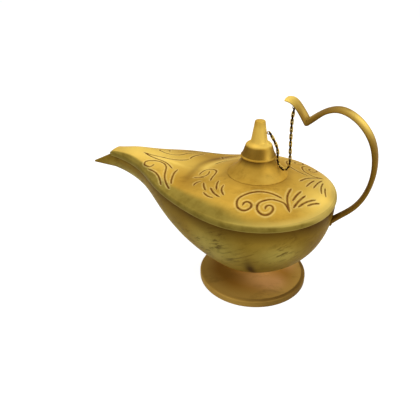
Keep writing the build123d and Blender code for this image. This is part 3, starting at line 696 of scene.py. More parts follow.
def floor_material(colours):
    """White floor: it shows as white, and dims a little where the lamp keeps the light off it."""
    paint = Paint("white_floor")
    matt = paint.node("ShaderNodeBsdfDiffuse", {}, {"Color": colours.floor})
    glow = paint.node("ShaderNodeEmission", {}, {
        "Color": (1, 1, 1, 1), "Strength": seen_directly(paint) * 0.92})
    total = paint.node("ShaderNodeAddShader", {}, {0: matt, 1: glow})
    paint.feed(paint.output.inputs["Surface"], total)
    return paint.material


def flat_colour(name, description, *value):
    """A colour property with its default picked on the 0 to 255 scale."""
    return FloatVectorProperty(name=name, description=description, default=tone(*value), subtype="COLOR",
                               size=4, min=0, max=1)


def light_power(name, description, watts):
    """A property for the power of a light."""
    return FloatProperty(name=name, description=description, default=watts, min=0, max=100, unit="POWER")


class LampColours(PropertyGroup):
    """Tones of the lamp's metals and of the stage"""
    gold_light: flat_colour("Light gold", "Lighter clouds on the gold parts", 216, 173, 70)
    gold: flat_colour("Gold", "Main tone of the gold parts", 189, 145, 50)
    # Dark gold: smudges and streaks, and the painted shade in the cover's valley, on its dome and round its
    # neck
    gold_dark: flat_colour("Dark gold", "Smudges and the cover's valley", 134, 94, 24)
    # Painted highlights: the light gold painted where the cover, neck, lid, finial and handle catch the
    # light
    highlight_gold: flat_colour("Highlight gold", "Places rubbed bright", 250, 214, 104)
    olive: flat_colour("Olive", "Edge of the cover", 148, 128, 54)
    olive_dark: flat_colour("Dark olive", "Darker clouds on the edge", 116, 96, 32)
    # Painted highlight on the lip's upper rounding towards the handle and along the lip's lower edge
    lip_highlight: flat_colour("Light lip", "Upper rounding of the lip", 216, 188, 98)
    halo: flat_colour("Halo", "Light metal beside the engraved lines", 236, 210, 128)
    line: flat_colour("Engraved line", "Dark filling of the engraved lines", 104, 58, 26)
    bowl: flat_colour("Bowl", "Main tone of the bowl", 142, 112, 32)
    bowl_warm: flat_colour("Warm bowl", "Golden clouds on the bowl", 176, 140, 50)
    # Painted highlights on the bowl, in an olive tone
    bowl_highlight: flat_colour("Light bowl", "Olive patches on the bowl", 206, 184, 90)
    bowl_dark: flat_colour("Dark bowl", "Shadowed places and smudges", 78, 51, 13)
    bronze: flat_colour("Bronze", "Main tone of the handle", 122, 90, 26)
    bronze_light: flat_colour("Light bronze", "Lighter clouds on the handle", 140, 104, 36)
    copper: flat_colour("Copper", "Lighter clouds on the foot", 172, 122, 43)
    copper_dark: flat_colour("Dark copper", "Main tone of the foot", 156, 104, 27)
    # Painted highlight on the foot, in a rosy tone
    copper_highlight: flat_colour("Rosy copper", "Rubbed place on the foot", 214, 158, 92)
    foot_edge: flat_colour("Foot's edge", "Outer part and band of the foot", 204, 164, 80)
    chain: flat_colour("Chain", "Bright wire", 196, 164, 76)
    oxide: flat_colour("Oxide", "Dark links and dark inner sides", 38, 18, 4)
    floor: flat_colour("Floor", "Matt tone of the floor", 160, 160, 160)


class LampSizes(PropertyGroup):
    """Sizes of the fine work that a user may change"""
    line_width: FloatProperty(name="Line width", description="Width of an engraved line", default=0.0017,
                              min=0.0004, max=0.003, subtype="DISTANCE", unit="LENGTH")
    line_depth: FloatProperty(name="Line depth", description="Depth of an engraved line", default=0.00035,
                              min=0, max=0.0008, subtype="DISTANCE", unit="LENGTH")
    link_wire: FloatProperty(name="Chain wire", description="Thickness of the chain's wire",
                             default=LINK_WIRE * MILLIMETRE, min=0.0002, max=0.0012, subtype="DISTANCE",
                             unit="LENGTH")
    links: IntProperty(name="Links", description="Number of links in the chain", default=CHAIN_LINKS, min=9,
                       max=60)
    strands: IntProperty(name="Strands", description="Cotton strands in the wick", default=4, min=2, max=9)
    top_power: light_power("Top light", "Power of the softbox above", 4.4)
    side_power: light_power("Side light", "Power of the light at the handle's side", 3.7)
    rim_power: light_power("Rim light", "Power of the light behind the lamp", 1.4)
    fill_power: light_power("Fill light", "Power of the weak light in front", 2.4)


def bowl_quarter(width, rim, depth, fullness):
    """Half a section of the bowl from keel to rim: a cubic curve with its two handles along the keel's
    and the rim's directions, as long as the fullness asks. Arrays give one row for each station."""
    share = np.linspace(0, 1, 32)
    hold = (8 * 0.5 ** (1 / fullness) - 4) / 3
    width, rim, depth, hold = [np.atleast_1d(value)[:, None] for value in (width, rim, depth, hold)]
    keel, keel_handle = (1 - share) ** 3, 3 * share * (1 - share) ** 2
    rim_handle, end = 3 * share**2 * (1 - share), share**3
    out = width * (keel_handle * hold + rim_handle + end)
    return out, rim - depth * (keel + keel_handle + rim_handle * hold)


def bowl_rings(width, rim, depth, fullness, wall, top):
    """Closed sections of the bowl, one for each row of its values, as distances from the middle plane and
    heights: the outside from keel to rim, over the rounded top and down the inside."""
    out, height = bowl_quarter(width, rim, depth, fullness)
    inner, inner_height = bowl_quarter(width - wall, rim, depth - wall, fullness)
    top = np.atleast_1d(top)[:, None]
    wall = np.atleast_1d(wall)[:, None] + 0 * out[:, :1]
    turn = np.linspace(0, math.pi, 7)
    over = out[:, -1:] - wall / 2 + wall / 2 * np.cos(turn)
    over_height = height[:, -1:] + top + wall * 0.3 * (np.sin(turn) - 1)
    half = np.concatenate([out, over, inner[:, ::-1]], 1)
    return half, np.concatenate([height, over_height, inner_height[:, ::-1]], 1)


def bowl_tones(grid):
    """How light and how dark the bowl is. Light is painted highlights: two places on each side and a band
    along the spout. Dark is painted shade under the rim, along the keel and towards the handle on the
    sides, with an upright darker streak on each side."""
    x, near = grid[..., 0], near_side(grid)
    rise = 1 - (rim_line(x) - grid[..., 2]) / station_values(x, DEPTHS, 0, BOWL_DEPTH)
    spout = held((-x - 30) / 30)
    band = 0.8 * spout * ridge(rise - 0.3, 0.25) * held((x + 138) / 30)
    under_rim, keel = held((rise - 0.82) / 0.18) * 0.8, held(1 - rise / 0.25) * (1 - spout)
    return held(spots(near, BOWL_LIGHTS) + band), held(under_rim + keel + spots(near, BOWL_SHADES))


class MakeBowl(Operator):
    """Makes the bowl with the spout's trough: oval sections carried along the lamp, and one spun half
    round behind its axis"""
    bl_idname = "lamp.make_bowl"
    bl_label = "Bowl and spout"

    def execute(self, context):
        x = -np.linspace(0, MOUTH_REACH, 170)
        overhang = COVER_OVERHANG * (0.25 + 0.75 * held((-x - 10) / 60))
        width, depth = half_width(x) - overhang, station_values(x, DEPTHS, 0, BOWL_DEPTH)
        fullness = part_way(BOWL_FULLNESS, SPOUT_FULLNESS, held(-x / MOUTH_REACH))
        nest = RIM_NEST - NEST_CLEARANCE
        half, height = bowl_rings(width, rim_line(x), depth, fullness, BOWL_WALL, nest)
        beyond = np.linspace(0, 1, 40)[1:]
        tip_width = part_way(width[-1], TIP_HALF_WIDTH, beyond)
        tip_rim = part_way(RIM_HEIGHT + SPOUT_RISE, TIP_HEIGHT, beyond)
        tip_depth = part_way(depth[-1], TIP_DEPTH, beyond)
        tip_wall = np.minimum(BOWL_WALL * (1 - 0.25 * beyond), tip_width * 0.9)
        tip_top = part_way(nest, TIP_DEPTH / 2, held(beyond * 8))
        trough, trough_height = bowl_rings(tip_width, tip_rim, tip_depth, SPOUT_FULLNESS, tip_wall, tip_top)
        x = np.concatenate([x, part_way(-MOUTH_REACH, -SPOUT_REACH, beyond)])[:, None]
        half, height = np.concatenate([half, trough]), np.concatenate([height, trough_height])
        far, near = [np.stack([x + 0 * half, side * half, height], -1) for side in (1, -1)]
        front = np.concatenate([far, near[:, ::-1]], 1)
        angle = np.linspace(-math.pi / 2, math.pi / 2, 150)[:, None]
        back = np.stack([half[:1] * np.cos(angle), half[:1] * np.sin(angle), height[:1] + 0 * angle], -1)
        boss = turned(soften([(0, BOSS_HEIGHT, 0), (BOSS_RADIUS, BOSS_HEIGHT, 0.6),
                              (BOSS_RADIUS, BOSS_TOP, 0), (0, BOSS_TOP, 0)]))
        patches = [(front, False, True), (cap_on(front[-1]), False, True), (back, False, False),
                   (boss, True, True)]
        patch, shade = zip(*[bowl_tones(grid) for grid, _, _ in patches])
        bowl = build_mesh("bowl_shell", patches, 40, {"patch": patch, "shade": shade})
        dress(bowl, "lamp", "dark_brass", bowl_material(context.scene.lamp_colours), "bowl")
        return {"FINISHED"}


def engraved_lines():
    """Every engraved line as evenly spaced points, with the width it has there: full in the middle and
    thinner towards its ends. The far side mirrors the near one."""
    near, side, lances, deck, strokes = [[np.array(line) for line in lines] for lines in (
        NEAR_SCROLL, SIDE_SCROLL, DECK_LANCES, DECK_SCROLL, FAR_STROKES)]
    turn = math.radians(FAR_SCROLL_TURN)
    spin = np.array([[math.cos(turn), math.sin(turn)], [-math.sin(turn), math.cos(turn)]])
    far = [(line * (1, -1)) @ spin for line in near] + [line * (1, -1) for line in side[3:]] + strokes
    far += [(line - (0, DECK_MIDDLE)) * (1, -1) + (0, DECK_MIDDLE) for line in deck]
    points, widths = [], []
    for number, line in enumerate(near + side + lances + deck + far):
        length = np.linalg.norm(np.diff(line, axis=0), axis=1).sum()
        places, _, walked = path_through(line, max(8, int(length / 0.7)))
        points.append(places)
        full = 1.0 if number < len(near) else 0.8
        widths.append(full * np.clip(0.45 + np.minimum(walked, walked[-1] - walked) / 3.2, 0.45, 1))
    return points, widths


def distance_to_lines(x, y, lines, widths):
    """Distance from each place to the nearest engraved line, divided by that line's own width there:
    the least over all the short pieces of the distance to the piece. It is left large further than 4
    from a line."""
    nearest = np.full(x.shape, 1e3)
    for points, wide in zip(lines, widths):
        low, high = points.min(0) - 4, points.max(0) + 4
        near = np.nonzero((x > low[0]) & (x < high[0]) & (y > low[1]) & (y < high[1]))
        if not len(near[0]):
            continue
        place = np.stack([x[near], y[near]], -1)[:, None]
        start, step = points[:-1], np.diff(points, axis=0)
        along = held(((place - start) * step).sum(-1) / (step * step).sum(-1))
        gap = np.linalg.norm(place - start - along[..., None] * step, axis=-1)
        scaled = gap / (wide[:-1] + (wide[1:] - wide[:-1]) * along)
        nearest[near] = np.minimum(nearest[near], scaled.min(1))
    return nearest


def cover_outline(count):
    """The cover's outline seen from above, evenly spaced: from the mouth's middle along one flank, round
    the back and along the other flank, with the inward direction, which is square to the outline, and
    how far each point belongs to the open mouth."""
    x = -MOUTH_REACH * (1 - np.linspace(0, 1, 800))
    flank = np.stack([x, half_width(x)], -1)
    angle = np.linspace(math.pi / 2, 0, 500)[1:]
    back = COVER_RADIUS * np.stack([np.cos(angle), np.sin(angle)], -1)
    side = np.concatenate([flank, back])
    inward = np.gradient(side, axis=0) @ np.array([[0, -1], [1, 0]])
    inward /= np.linalg.norm(inward, axis=1, keepdims=True)
    mouth_y = np.linspace(0, MOUTH_HALF_WIDTH, 40)[:-1]
    mouth = np.stack([0 * mouth_y - MOUTH_REACH, mouth_y], -1)
    points = np.concatenate([mouth, side])
    inward = np.concatenate([np.tile((1.0, 0.0), (len(mouth), 1)), inward])
    is_mouth = np.r_[np.ones(len(mouth)), np.zeros(len(side))]
    walked = walked_along(points)
    half = read_columns(np.linspace(0, walked[-1], count), walked, (*points.T, *inward.T, is_mouth))
    whole = [np.r_[column, (-column if number in (1, 3) else column)[-2:0:-1]]
             for number, column in enumerate(half)]
    return np.stack(whole[:2], -1), np.stack(whole[2:4], -1), whole[4][:, None]


def cover_edge(outline, mouth, lip_inset, high):
    """The cover's edge as distances in from the outline and heights: the lip's rounding is a curve of
    the second degree, then come its upright side and the seat on the bowl. The open mouth has a plain
    edge instead, as thick as the wall. Also how many of the columns are the lip's."""
    rim = rim_line(outline[:, :1])
    over, down = np.linspace(0, 1, 9)[None, 1:], np.linspace(0, 1, 5)[None, 1:]
    rounding = high * (1 - over) ** 2 + 2 * (high - 0.3) * over * (1 - over)
    heights = [rounding + (rim + LIP_HEIGHT / 2) * over**2, rim + LIP_HEIGHT / 2 * (1 - down)]
    bowl_inside = COVER_OVERHANG + BOWL_WALL
    seat = np.array([[0.8, COVER_WALL, COVER_WALL, bowl_inside - 0.2, bowl_inside]])
    seat_height = rim + np.array([[0, 0.1, RIM_NEST, RIM_NEST, RIM_NEST + 0.2]])
    inset = np.concatenate([lip_inset * (1 - over) ** 2, LIP_TUCK * down**2 + 0 * rim, seat + 0 * rim], 1)
    level = np.concatenate(heights + [seat_height], 1)
    corner = np.abs(outline[:, 1:]) > MOUTH_HALF_WIDTH - COVER_WALL
    below = np.where(corner, rim, high - COVER_WALL)
    plain_level = part_way(high, below, held(np.linspace(0, 1.6, inset.shape[1])))
    inset = inset * (1 - mouth) + np.linspace(0, 0.4, inset.shape[1]) * mouth
    return inset, level * (1 - mouth) + plain_level * mouth, over.size + down.size


def cover_tones(plan):
    """How light, dark, olive and pale the cover is, at places seen from above. Dark is painted shade: in
    the valley before the deck, at a place on the dome and in a ring round the neck. Light is painted
    highlights: the band beside the valley, over the deck and at places on the dome. Olive: towards the
    edge, less of it on the handle's side. Pale is a painted highlight close to the edge on the handle's
    side."""
    x, y = plan[..., 0], plan[..., 1]
    away = half_width(x) - np.where(x > 0, np.hypot(x, y), np.abs(y))
    near, beyond = np.stack([x, -np.abs(y)], -1), np.maximum(y, 0) ** 2
    valley = ridge(x + 47 - 0.0165 * beyond, 2.8) * held((y + 28) / 18) * held(away / 9)
    band = ridge(x + 39.7 - 0.025 * beyond, 3.4) * held((y + 9) / 9)
    light = spots(plan, DECK_LIGHTS) + spots(near, COVER_LIGHTS) + 0.7 * band
    dark = 0.75 * valley + spots(near, COVER_SHADES) + 0.3 * ridge(np.hypot(x, y) - 22, 4)
    wide = np.minimum(9 + 12 * ridge(x + 30, 34), 0.5 + 0.27 * half_width(x))
    olive = held(1 - away / wide) * (1 - 0.75 * handle_side(x))
    pale = ridge(np.maximum(away - 1, 0), 3.4) * handle_side(x)
    return {"light": held(light), "dark": held(dark), "olive": olive, "pale": pale}


def handle_side(x):
    """0 towards the spout and 1 towards the handle, with a straight change between them."""
    return held((x + 25) / 60)


class MakeCover(Operator):
    """Makes the cover as rays from the filler hole to the outline, with the lip rolled round the outline
    and the engraved lines sunk into it"""
    bl_idname = "lamp.make_cover"
    bl_label = "Engraved cover"

    def execute(self, context):
        sizes = context.scene.lamp_sizes
        outline, inward, mouth = cover_outline(262)
        lip_inset = LIP_SHARE * half_width(outline[:, :1]) * (1 - mouth)
        start = outline + inward * lip_inset
        hole = start / np.linalg.norm(start, axis=1, keepdims=True) * FILLER_RADIUS
        share = (np.linspace(0, 1, 150) ** 0.94)[None, :, None]
        plan = hole[:, None] + (start - hole)[:, None] * share
        x, y = plan[..., 0], plan[..., 1]
        lines, widths = engraved_lines()
        gap = distance_to_lines(x, y, lines, widths) / (sizes.line_width / MILLIMETRE / 2)
        groove, burr = np.exp(-(gap / 0.85) ** 4), ridge(gap - 1.75, 0.65)
        height = cover_top(x, y) - 0.8 * held(1 - (MOUTH_REACH + x) / 1.6) ** 2
        relief = burr * BURR_HEIGHT - groove * sizes.line_depth / MILLIMETRE
        top = np.stack([x, y, height + relief], -1)
        inset, level, lip_columns = cover_edge(outline, mouth, lip_inset, height[:, -1:])
        rows = outline[:, None] + inward[:, None] * inset[..., None]
        edge = np.concatenate([rows, level[..., None]], -1)
        inner_end = rows[:, -1:]
        back = np.linspace(0, 1, 24)[None, 1:, None]
        under_plan = inner_end + (hole[:, None] - inner_end) * back
        under_height = cover_top(under_plan[..., 0], under_plan[..., 1]) - COVER_WALL
        under = np.concatenate([under_plan, under_height[..., None]], -1)
        grid = np.concatenate([top, edge, under, top[:, :1]], 1)
        blank = np.zeros((len(outline), grid.shape[1] - top.shape[1]))
        lip, lip_highlight_share = blank + 1, blank.copy()
        lip[:, :lip_columns] = np.linspace(0.08, 1, lip_columns)
        # A painted highlight on the lip towards the handle: strong at the rounding and fading down its
        # side, but over the whole lip at the back
        fading = np.linspace(0, 1.9, lip_columns) * (1 - held((outline[:, :1] - 44) / 10))
        lip_highlight_share[:, :lip_columns] = held(1 - fading) * handle_side(x[:, -1:])
        on_top = {"line": groove, "halo": burr, "lip": 0 * x, **cover_tones(plan)}
        below = {"olive": blank + 1, "lip": lip, "pale": lip_highlight_share}
        fields = {name: [np.concatenate([values, below.get(name, blank)], 1)]
                  for name, values in on_top.items()}
        cover = build_mesh("cover_shell", [(grid, True, False)], 50, fields)
        dress(cover, "lamp", "aged_brass", cover_material(context.scene.lamp_colours), "top_cover")
        return {"FINISHED"}


class MakeNeckAndLid(Operator):
    """Makes the flared neck, the stepped lid and its finial by spinning their outlines round the axis"""
    bl_idname = "lamp.make_neck_and_lid"
    bl_label = "Neck, lid and finial"

    def execute(self, context):
        metal = lid_material(context.scene.lamp_colours)
        grid = turned(soften(curve_corners(NECK_FLARE, 40) + NECK_INSIDE))
        right = rightness(grid, COLLAR_BASE_RADIUS)
        # Painted shade on the neck under the lid and on its side away from the handle; a painted highlight
        # low on its near side
        shade = held((grid[..., 2] - 98.5) / 4.5) * 0.8 + 0.24 - 0.24 * held(right / 0.4)
        fields = {"shade": [shade], "light": [spots(grid, NECK_LIGHTS)]}
        neck = build_mesh("neck_cone", [(grid, True, True)], 40, fields)
        dress(neck, "lamp", "aged_brass", metal, "neck_collar")
        sides = curve_corners(LID_WAIST, 18) + curve_corners(LID_SHOULDER, 12)
        grid = turned(soften(LID_FLANGE + sides + LID_INSIDE))
        height, right = grid[..., 2], rightness(grid, LID_RADIUS)
        # Painted shade on the waist, less in a stripe on the side towards the handle; painted highlights on
        # the shoulder, stronger on that side, and in the stripe
        stripe = ridge(right - 0.5, 0.22)
        waist = held(112.3 - height) * held((height - 104.6) / 0.3)
        shoulder = held(height - 111.8) * (0.55 + 0.25 * np.clip(right * 2, -1, 1))
        fields = {"shade": [waist * (0.8 - 0.8 * stripe)], "light": [shoulder + 0.25 * stripe]}
        lid = build_mesh("lid_cap", [(grid, True, True)], 32, fields)
        dress(lid, "lid", "aged_brass", metal, "lid")
        outline = soften([(0, FINIAL_BASE, 0)] + curve_corners(FINIAL_SIDE, 30) + FINIAL_CROWN, 7)
        grid = turned(outline)
        right = rightness(grid, FINIAL_MIDDLE_RADIUS)
        # Painted highlight over the finial: brighter on the side towards the handle, less towards the top
        light = 0.65 + 0.2 * np.clip(right * 1.6, -1, 1) - 0.4 * held((grid[..., 2] - 124) / 5)
        fields = {"shade": [0 * light], "light": [light]}
        finial = build_mesh("finial_knob", [(grid, True, False)], 40, fields)
        dress(finial, "lid", "aged_brass", metal, "finial")
        return {"FINISHED"}


def handle_band(shares, widths, thicknesses, count, side):
    """Rings of the handle from the kink on: a flattened oval square to the middle line, slid along that
    line where it would pass the upright plane of the kink, so that the two arms meet in one edge. Also
    1 on the inner side of each ring and 0 on the outer one."""
    route = part_way((0, HANDLE_END), (HANDLE_REACH, HANDLE_TOP), shares)
    walked = walked_along(route)
    places, heading, at = path_through(route, count, 0.35)
    at = at / at[-1] * walked[-1]
    wide = smooth_curve(walked, widths, at) * HANDLE_WIDTH
    thick = smooth_curve(walked, thicknesses, at) * HANDLE_THICKNESS
    centres, forward = upright(places), upright(heading)
    up = np.cross(forward, CROSSWAYS)
    rings = carried(centres, CROSSWAYS, up, oval(wide, thick, BAND_CORNERS, BAND_FULLNESS))
    kink, kink_height = route[0]
    over = np.maximum(side * (kink - rings[..., 0]), 0)
    ahead = forward[:, None, 0]
    slide = over / np.abs(ahead).clip(0.2) * (side * np.sign(ahead)).clip(0.01)
    rings += slide[..., None] * forward[:, None]
    flat = oval(HANDLE_WIDTH, KINK_THICKNESS, BAND_CORNERS, BAND_FULLNESS)[..., 1] * np.sign(up[0, 2])
    rings[0] = np.stack([0 * flat + kink, rings[0, :, 1], kink_height + flat], -1)
    inner = held(-side * oval(1.0, 2.0, BAND_CORNERS, BAND_FULLNESS)[..., 1])
    return rings, np.tile(inner, (count, 1))


class MakeHandle(Operator):
    """Makes the handle: two bands of oval rings that meet in the kink, a rounded curl end and the boss
    on the bowl"""
    bl_idname = "lamp.make_handle"
    bl_label = "Handle"

    def execute(self, context):
        curl, curl_inner = handle_band(CURL, CURL_WIDTHS, CURL_THICKNESSES, 48, -1)
        loop, loop_inner = handle_band(LOOP, LOOP_WIDTHS, LOOP_THICKNESSES, 190, 1)
        step = np.linspace(0, 1, 7)[1:, None, None]
        middle = curl[-1].mean(0)
        ahead = middle - curl[-2].mean(0)
        ahead /= np.linalg.norm(ahead)
        tip = middle + (curl[-1] - middle) * np.sqrt(1 - step**2) + ahead * step
        away = loop[-1].mean(0) - loop[-2].mean(0)
        stub = loop[-1] + away / np.linalg.norm(away) * np.array([0, STUB_LENGTH])[:, None, None]
        turn = full_turn(48)[:, None, None]
        around = np.cos(turn) * CROSSWAYS + np.sin(turn) * np.cross(BOSS_NORMAL, CROSSWAYS)
        radius, rise = HANDLE_BOSS[None, :, :1], HANDLE_BOSS[None, :, 1:]
        boss = np.array(BOSS_SEAT) + np.array(BOSS_NORMAL) * rise + radius * around
        grids = [curl, np.concatenate([curl[-1:], tip]), loop, stub, cap_on(stub[1]), boss]
        # Painted highlights on the curl and on the loop's top; painted shade on the band's inner side and
        # over the loop's first rise
        glow = [held(spots(grid, HANDLE_LIGHTS)) for grid in grids]
        outer = held((loop[..., 0] - 45) / 12) + held((90 - loop[..., 2]) / 20)
        inner = [curl_inner, np.tile(curl_inner[-1], (7, 1)), held(loop_inner + 0.3 * (1 - outer))]
        inner += [0 * grid[..., 0] for grid in grids[3:]]
        patches = [(grid, False, True) for grid in grids[:-1]] + [(boss, True, False)]
        handle = build_mesh("handle_band", patches, 42, {"glow": glow, "inner": inner})
        dress(handle, "lamp", "dark_brass", handle_material(context.scene.lamp_colours), "handle")
        return {"FINISHED"}


def link_rings(start, end, sideways, wire):
    """One chain link between two joints: a round wire carried once round a long oval, whose middle line
    reaches half a wire's thickness past each joint. Also 1 on the wire's inner side, 0 on its outer."""
    ahead = end - start
    length = np.linalg.norm(ahead)
    ahead = ahead / length
    across = np.cross(sideways, ahead)
    across /= np.linalg.norm(across)
    reach, half = (length + wire) / 2, (LINK_OPENING + wire) / 2
    turn = full_turn(28)
    cosine, sine = np.cos(turn), np.sin(turn)
    shift = np.sign(cosine) * (reach - half)
    middle = (start + end) / 2 + (cosine * half + shift)[:, None] * ahead + (sine * half)[:, None] * across
    outward = cosine[:, None] * ahead + sine[:, None] * across
    ring = oval(wire, wire, 10)
    grid = carried(middle, outward, np.cross(ahead, across), ring)
    return grid, np.broadcast_to(held(0.5 - ring[:, 0] / wire), grid.shape[:2])


def eye_patches(centre, way, stem):
    """A ring of wire in the lamp's middle plane, with a straight stem and the stem's two ends, and how
    far each point is on the ring's inner side."""
    turn = full_turn(40)
    radial = upright(np.stack([np.cos(turn), np.sin(turn)], -1))
    wire = oval(EYE_WIRE, EYE_WIRE, 14)
    ring = carried(centre + radial * EYE_RADIUS, radial, CROSSWAYS, wire)
    along = np.array(centre) + np.array(way) * np.linspace(1.0, 1.0 + stem, 5)[:, None]
    rod = carried(along, np.cross(way, CROSSWAYS), CROSSWAYS, wire)
    patches = [(ring, True, True)]
    patches += [(grid, False, True) for grid in (rod, cap_on(rod[0]), cap_on(rod[-1]))]
    inside = [np.broadcast_to(held(0.5 - wire[:, 0] / EYE_WIRE) * 0.6, ring.shape[:2])]
    return patches, inside + [np.zeros(grid.shape[:2]) for grid, _, _ in patches[1:]]


class MakeChain(Operator):
    """Makes the chain of oval links, each square to the next, along the hanging line, and its two eyes"""
    bl_idname = "lamp.make_chain"
    bl_label = "Chain and eyes"

    def execute(self, context):
        sizes = context.scene.lamp_sizes
        lowest = (CHAIN_START[0], CHAIN_LOW)
        falling = part_way(lowest, (CHAIN_END[0], CHAIN_START[1]), FALLING)
        rising = part_way(lowest, CHAIN_END, RISING)
        joints = upright(path_through(np.concatenate([falling, rising]), sizes.links + 1)[0])
        patches, inner = [], []
        for number, (first, last) in enumerate(zip(joints, joints[1:])):
            sideways = CROSSWAYS if number % 2 else np.cross(CROSSWAYS, last - first)
            sideways = sideways / np.linalg.norm(sideways)
            grid, inside = link_rings(first, last, sideways, sizes.link_wire / MILLIMETRE)
            patches.append((grid, True, True))
            inner.append(inside * 0.3 + 0.8 * (1 - number % 2))
        metal = chain_material(context.scene.lamp_colours)
        chain = build_mesh("chain_links", patches, 60, {"inside": inner})
        chain.data.materials.append(metal)
        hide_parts("chain")
        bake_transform(chain)
        eyes = (
            ("lid_ring", "lid", "lid_eye", LID_EYE_CENTRE, (-1, 0, 0), 2.2),
            ("handle_ring", "lamp", "handle_eye", HANDLE_EYE_CENTRE, (0, 0, 1), 2.8),
        )
        for name, body, node, centre, way, stem in eyes:
            patches, inside = eye_patches(centre, way, stem)
            eye = build_mesh(name, patches, 50, {"inside": inside})
            dress(eye, body, "bright_brass", metal, node)
        return {"FINISHED"}


class MakeFoot(Operator):
    """Makes the flared foot by spinning its outline: a hollow casting with a rim band"""
    bl_idname = "lamp.make_foot"
    bl_label = "Foot"

    def execute(self, context):
        top = part_way((FOOT_NECK, BOSS_HEIGHT), (FOOT_RADIUS - 0.8, FOOT_BAND), FOOT_CURVE)
        ring_inside = FOOT_RADIUS - FOOT_RING
        hollow = part_way((FOOT_NECK - FOOT_WALL, HOLLOW_TOP), (ring_inside, HOLLOW_LOW), FOOT_CURVE)
        outline = [(FOOT_BORE, BOSS_HEIGHT, 0), (FOOT_NECK, BOSS_HEIGHT, 0.2)]
        outline += curve_corners(top, 44)[1:]
        outline += [(FOOT_RADIUS, FOOT_BAND - 0.6, 0.5), (FOOT_RADIUS, 0.4, 0.4),
                    (FOOT_RADIUS - 0.5, 0, 0.3), (ring_inside, 0, 0.3)]
        outline += [(radius, height, 0.6) for radius, height in hollow[::-1]]
        outline += [(FOOT_BORE, HOLLOW_TOP, 0.2)]
        grid = turned(soften(outline))
        radius, height, near = np.hypot(grid[..., 0], grid[..., 1]), grid[..., 2], near_side(grid)
        rim = (radius > FOOT_RADIUS - 3).astype(float)
        # Painted highlight at two places on the flare; painted shade at a place on the flare, on the rim's
        # right-hand side and at the top of the neck under the bowl
        glow = spots(near, FOOT_LIGHTS)
        rim_shade = 0.66 * rim * held(rightness(grid, FOOT_RADIUS) * 1.2 + 0.55)
        shade = spots(near, FOOT_SHADES) + rim_shade + 0.35 * held((height - 14) / 2.5)
        band = held((radius - 28) / 9) * 0.8 + rim * held((FOOT_BAND - 0.1 - height) / 0.4)
        fields = {"glow": [held(glow)], "shade": [held(shade)], "band": [held(band)]}
        foot = build_mesh("foot_casting", [(grid, True, True)], 30, fields)
        dress(foot, "lamp", "aged_brass", foot_material(context.scene.lamp_colours), "foot")
        return {"FINISHED"}


class MakeWick(Operator):
    """Makes the cotton wick: a lobed outline that turns as it is carried along the wick's line, which is
    straight and then an arc"""
    bl_idname = "lamp.make_wick"
    bl_label = "Wick"

    def execute(self, context):
        first, chord = np.subtract(WICK_BEND, WICK_TIP), np.subtract(WICK_END, WICK_BEND)
        straight, slope = np.linalg.norm(first), math.atan2(-first[1], first[0])
        bend = math.atan2(-chord[1], chord[0]) - slope
        arc_radius = np.linalg.norm(chord) / (2 * math.sin(bend))
        at = np.linspace(0, straight + 2 * bend * arc_radius, 420)
        slope = slope + np.clip(at - straight, 0, None) / arc_radius
        heading = upright(np.stack([np.cos(slope), -np.sin(slope)], -1))
        walked = np.cumsum(heading[:-1] * at[1], axis=0)
        middle = np.array([WICK_TIP[0], 0, WICK_TIP[1]]) + np.concatenate([np.zeros((1, 3)), walked])
        turn = full_turn(48)
        strands = context.scene.lamp_sizes.strands
        lobe = np.abs(np.cos((turn[None, :] * strands + at[:, None] * WICK_LAY) / 2))
        frayed, burnt = held(1 - at[:, None] / FRAYED_LENGTH), held(1 - at[:, None] / BURNT_LENGTH)
        radius = WICK_RADIUS * (0.8 + 0.17 * lobe ** 0.6) * (1 - 0.25 * frayed**2)
        outline = np.stack([radius * np.cos(turn), radius * np.sin(turn)], -1)
        body = carried(middle, CROSSWAYS, np.cross(heading, CROSSWAYS), outline)
        patches = [(grid, False, True) for grid in (body, cap_on(body[0]), cap_on(body[-1]))]
        cap = np.zeros((2, len(turn)))
        fields = {"groove": [(1 - lobe) ** 2, cap, cap], "burnt": [burnt + 0 * lobe, cap + 1, cap]}
        wick = build_mesh("wick_cord", patches, 60, fields)
        dress(wick, "wick", "wick_cotton", wick_material(), "wick")
        return {"FINISHED"}


class DressFittings(Operator):
    """Gives the fittings inside the lamp their metal and leather"""
    bl_idname = "lamp.dress_fittings"
    bl_label = "Fittings"

    def execute(self, context):
        metal, leather = hardware_material(context.scene.lamp_colours), leather_material()
        for node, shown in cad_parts.items():
            if not shown.hide_render:
                shown.data.materials.clear()
                shown.data.materials.append(leather if node == "foot_gasket" else metal)
        return {"FINISHED"}


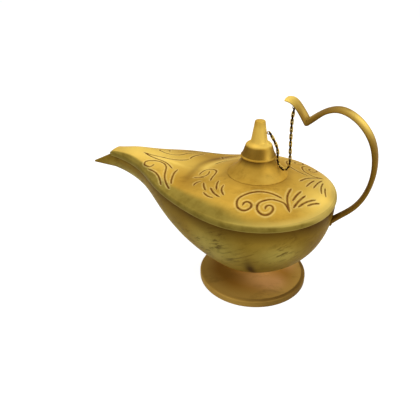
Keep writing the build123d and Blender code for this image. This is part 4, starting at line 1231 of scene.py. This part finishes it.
class MakeStage(Operator):
    """Sets the camera at the photograph's angle, the white floor and the soft studio lights"""
    bl_idname = "lamp.make_stage"
    bl_label = "Camera, floor and lights"

    def execute(self, context):
        scene, sizes = context.scene, context.scene.lamp_sizes
        collection = scene.collection
        camera = bpy.data.objects.new("camera", bpy.data.cameras.new("camera"))
        collection.objects.link(camera)
        azimuth, elevation = math.radians(AZIMUTH), math.radians(ELEVATION)
        back = (math.sin(azimuth) * math.cos(elevation), -math.cos(azimuth) * math.cos(elevation),
                math.sin(elevation))
        right = (math.cos(azimuth), math.sin(azimuth), 0)
        turn = Matrix((right, np.cross(back, right), back)).transposed().to_4x4()
        camera.matrix_world = Matrix.Translation(CAMERA_PLACE) @ turn
        camera.data.sensor_width = SENSOR_WIDTH
        camera.data.sensor_fit = "HORIZONTAL"
        camera.data.lens = SENSOR_WIDTH * FOCAL_LENGTH / PICTURE_WIDTH
        camera.data.shift_x, camera.data.shift_y = FRAME_RIGHT / PICTURE_WIDTH, FRAME_UP / PICTURE_WIDTH
        camera.data.clip_start, camera.data.clip_end = 0.01, 20.0
        scene.camera = camera
        floor = bpy.data.meshes.new("floor")
        corners = np.array([(-1, -1, 0), (1, -1, 0), (1, 1, 0), (-1, 1, 0)]) * FLOOR_REACH
        floor.from_pydata(corners.tolist(), [], [(0, 1, 2, 3)])
        floor_object = bpy.data.objects.new("floor", floor)
        collection.objects.link(floor_object)
        floor_object.location.z = FLOOR_LEVEL
        floor.materials.append(floor_material(scene.lamp_colours))
        for name, place, size, power in LIGHTS:
            light = bpy.data.lights.new(name, "AREA")
            light.shape, light.size, light.energy = "DISK", size, getattr(sizes, power)
            holder = bpy.data.objects.new(name, light)
            collection.objects.link(holder)
            aim = Vector(place) - Vector(LIGHT_TARGET)
            holder.rotation_euler = aim.to_track_quat("Z", "Y").to_euler()
            holder.location = place
        world = bpy.data.worlds.new("studio")
        world.use_nodes = True
        world.node_tree.nodes.clear()
        scene.world = world
        nodes = Nodes(world.node_tree)
        strength = seen_directly(nodes) * 0.75 + 0.25
        sky = nodes.node("ShaderNodeBackground", {}, {"Color": (1, 1, 1, 1), "Strength": strength})
        nodes.node("ShaderNodeOutputWorld", {}, {"Surface": sky})
        scene.view_settings.view_transform = "Standard"
        return {"FINISHED"}


STEPS = (MakeBowl, MakeCover, MakeNeckAndLid, MakeHandle, MakeChain, MakeFoot, MakeWick, DressFittings,
         MakeStage)


class LampPanel(Panel):
    """Lists the lamp's pieces, sizes and colours"""
    bl_idname = "VIEW3D_PT_genie_lamp"
    bl_label = "Genie oil lamp"
    bl_space_type = "VIEW_3D"
    bl_region_type = "UI"
    bl_category = "Lamp"

    def draw(self, context):
        for step in STEPS:
            self.layout.operator(step.bl_idname)
        for group in (context.scene.lamp_sizes, context.scene.lamp_colours):
            box = self.layout.box()
            for setting in group.bl_rna.properties.keys():
                if setting not in ("rna_type", "name"):
                    box.prop(group, setting)


CLASSES = (LampColours, LampSizes) + STEPS + (LampPanel,)


def register():
    for entry in CLASSES:
        bpy.utils.register_class(entry)
    bpy.types.Scene.lamp_colours = PointerProperty(type=LampColours)
    bpy.types.Scene.lamp_sizes = PointerProperty(type=LampSizes)


def unregister():
    del bpy.types.Scene.lamp_sizes
    del bpy.types.Scene.lamp_colours
    for entry in reversed(CLASSES):
        bpy.utils.unregister_class(entry)


def main():
    register()
    for step in STEPS:
        group, name = step.bl_idname.split(".")
        getattr(getattr(bpy.ops, group), name)()


if __name__ == "__main__":
    main()
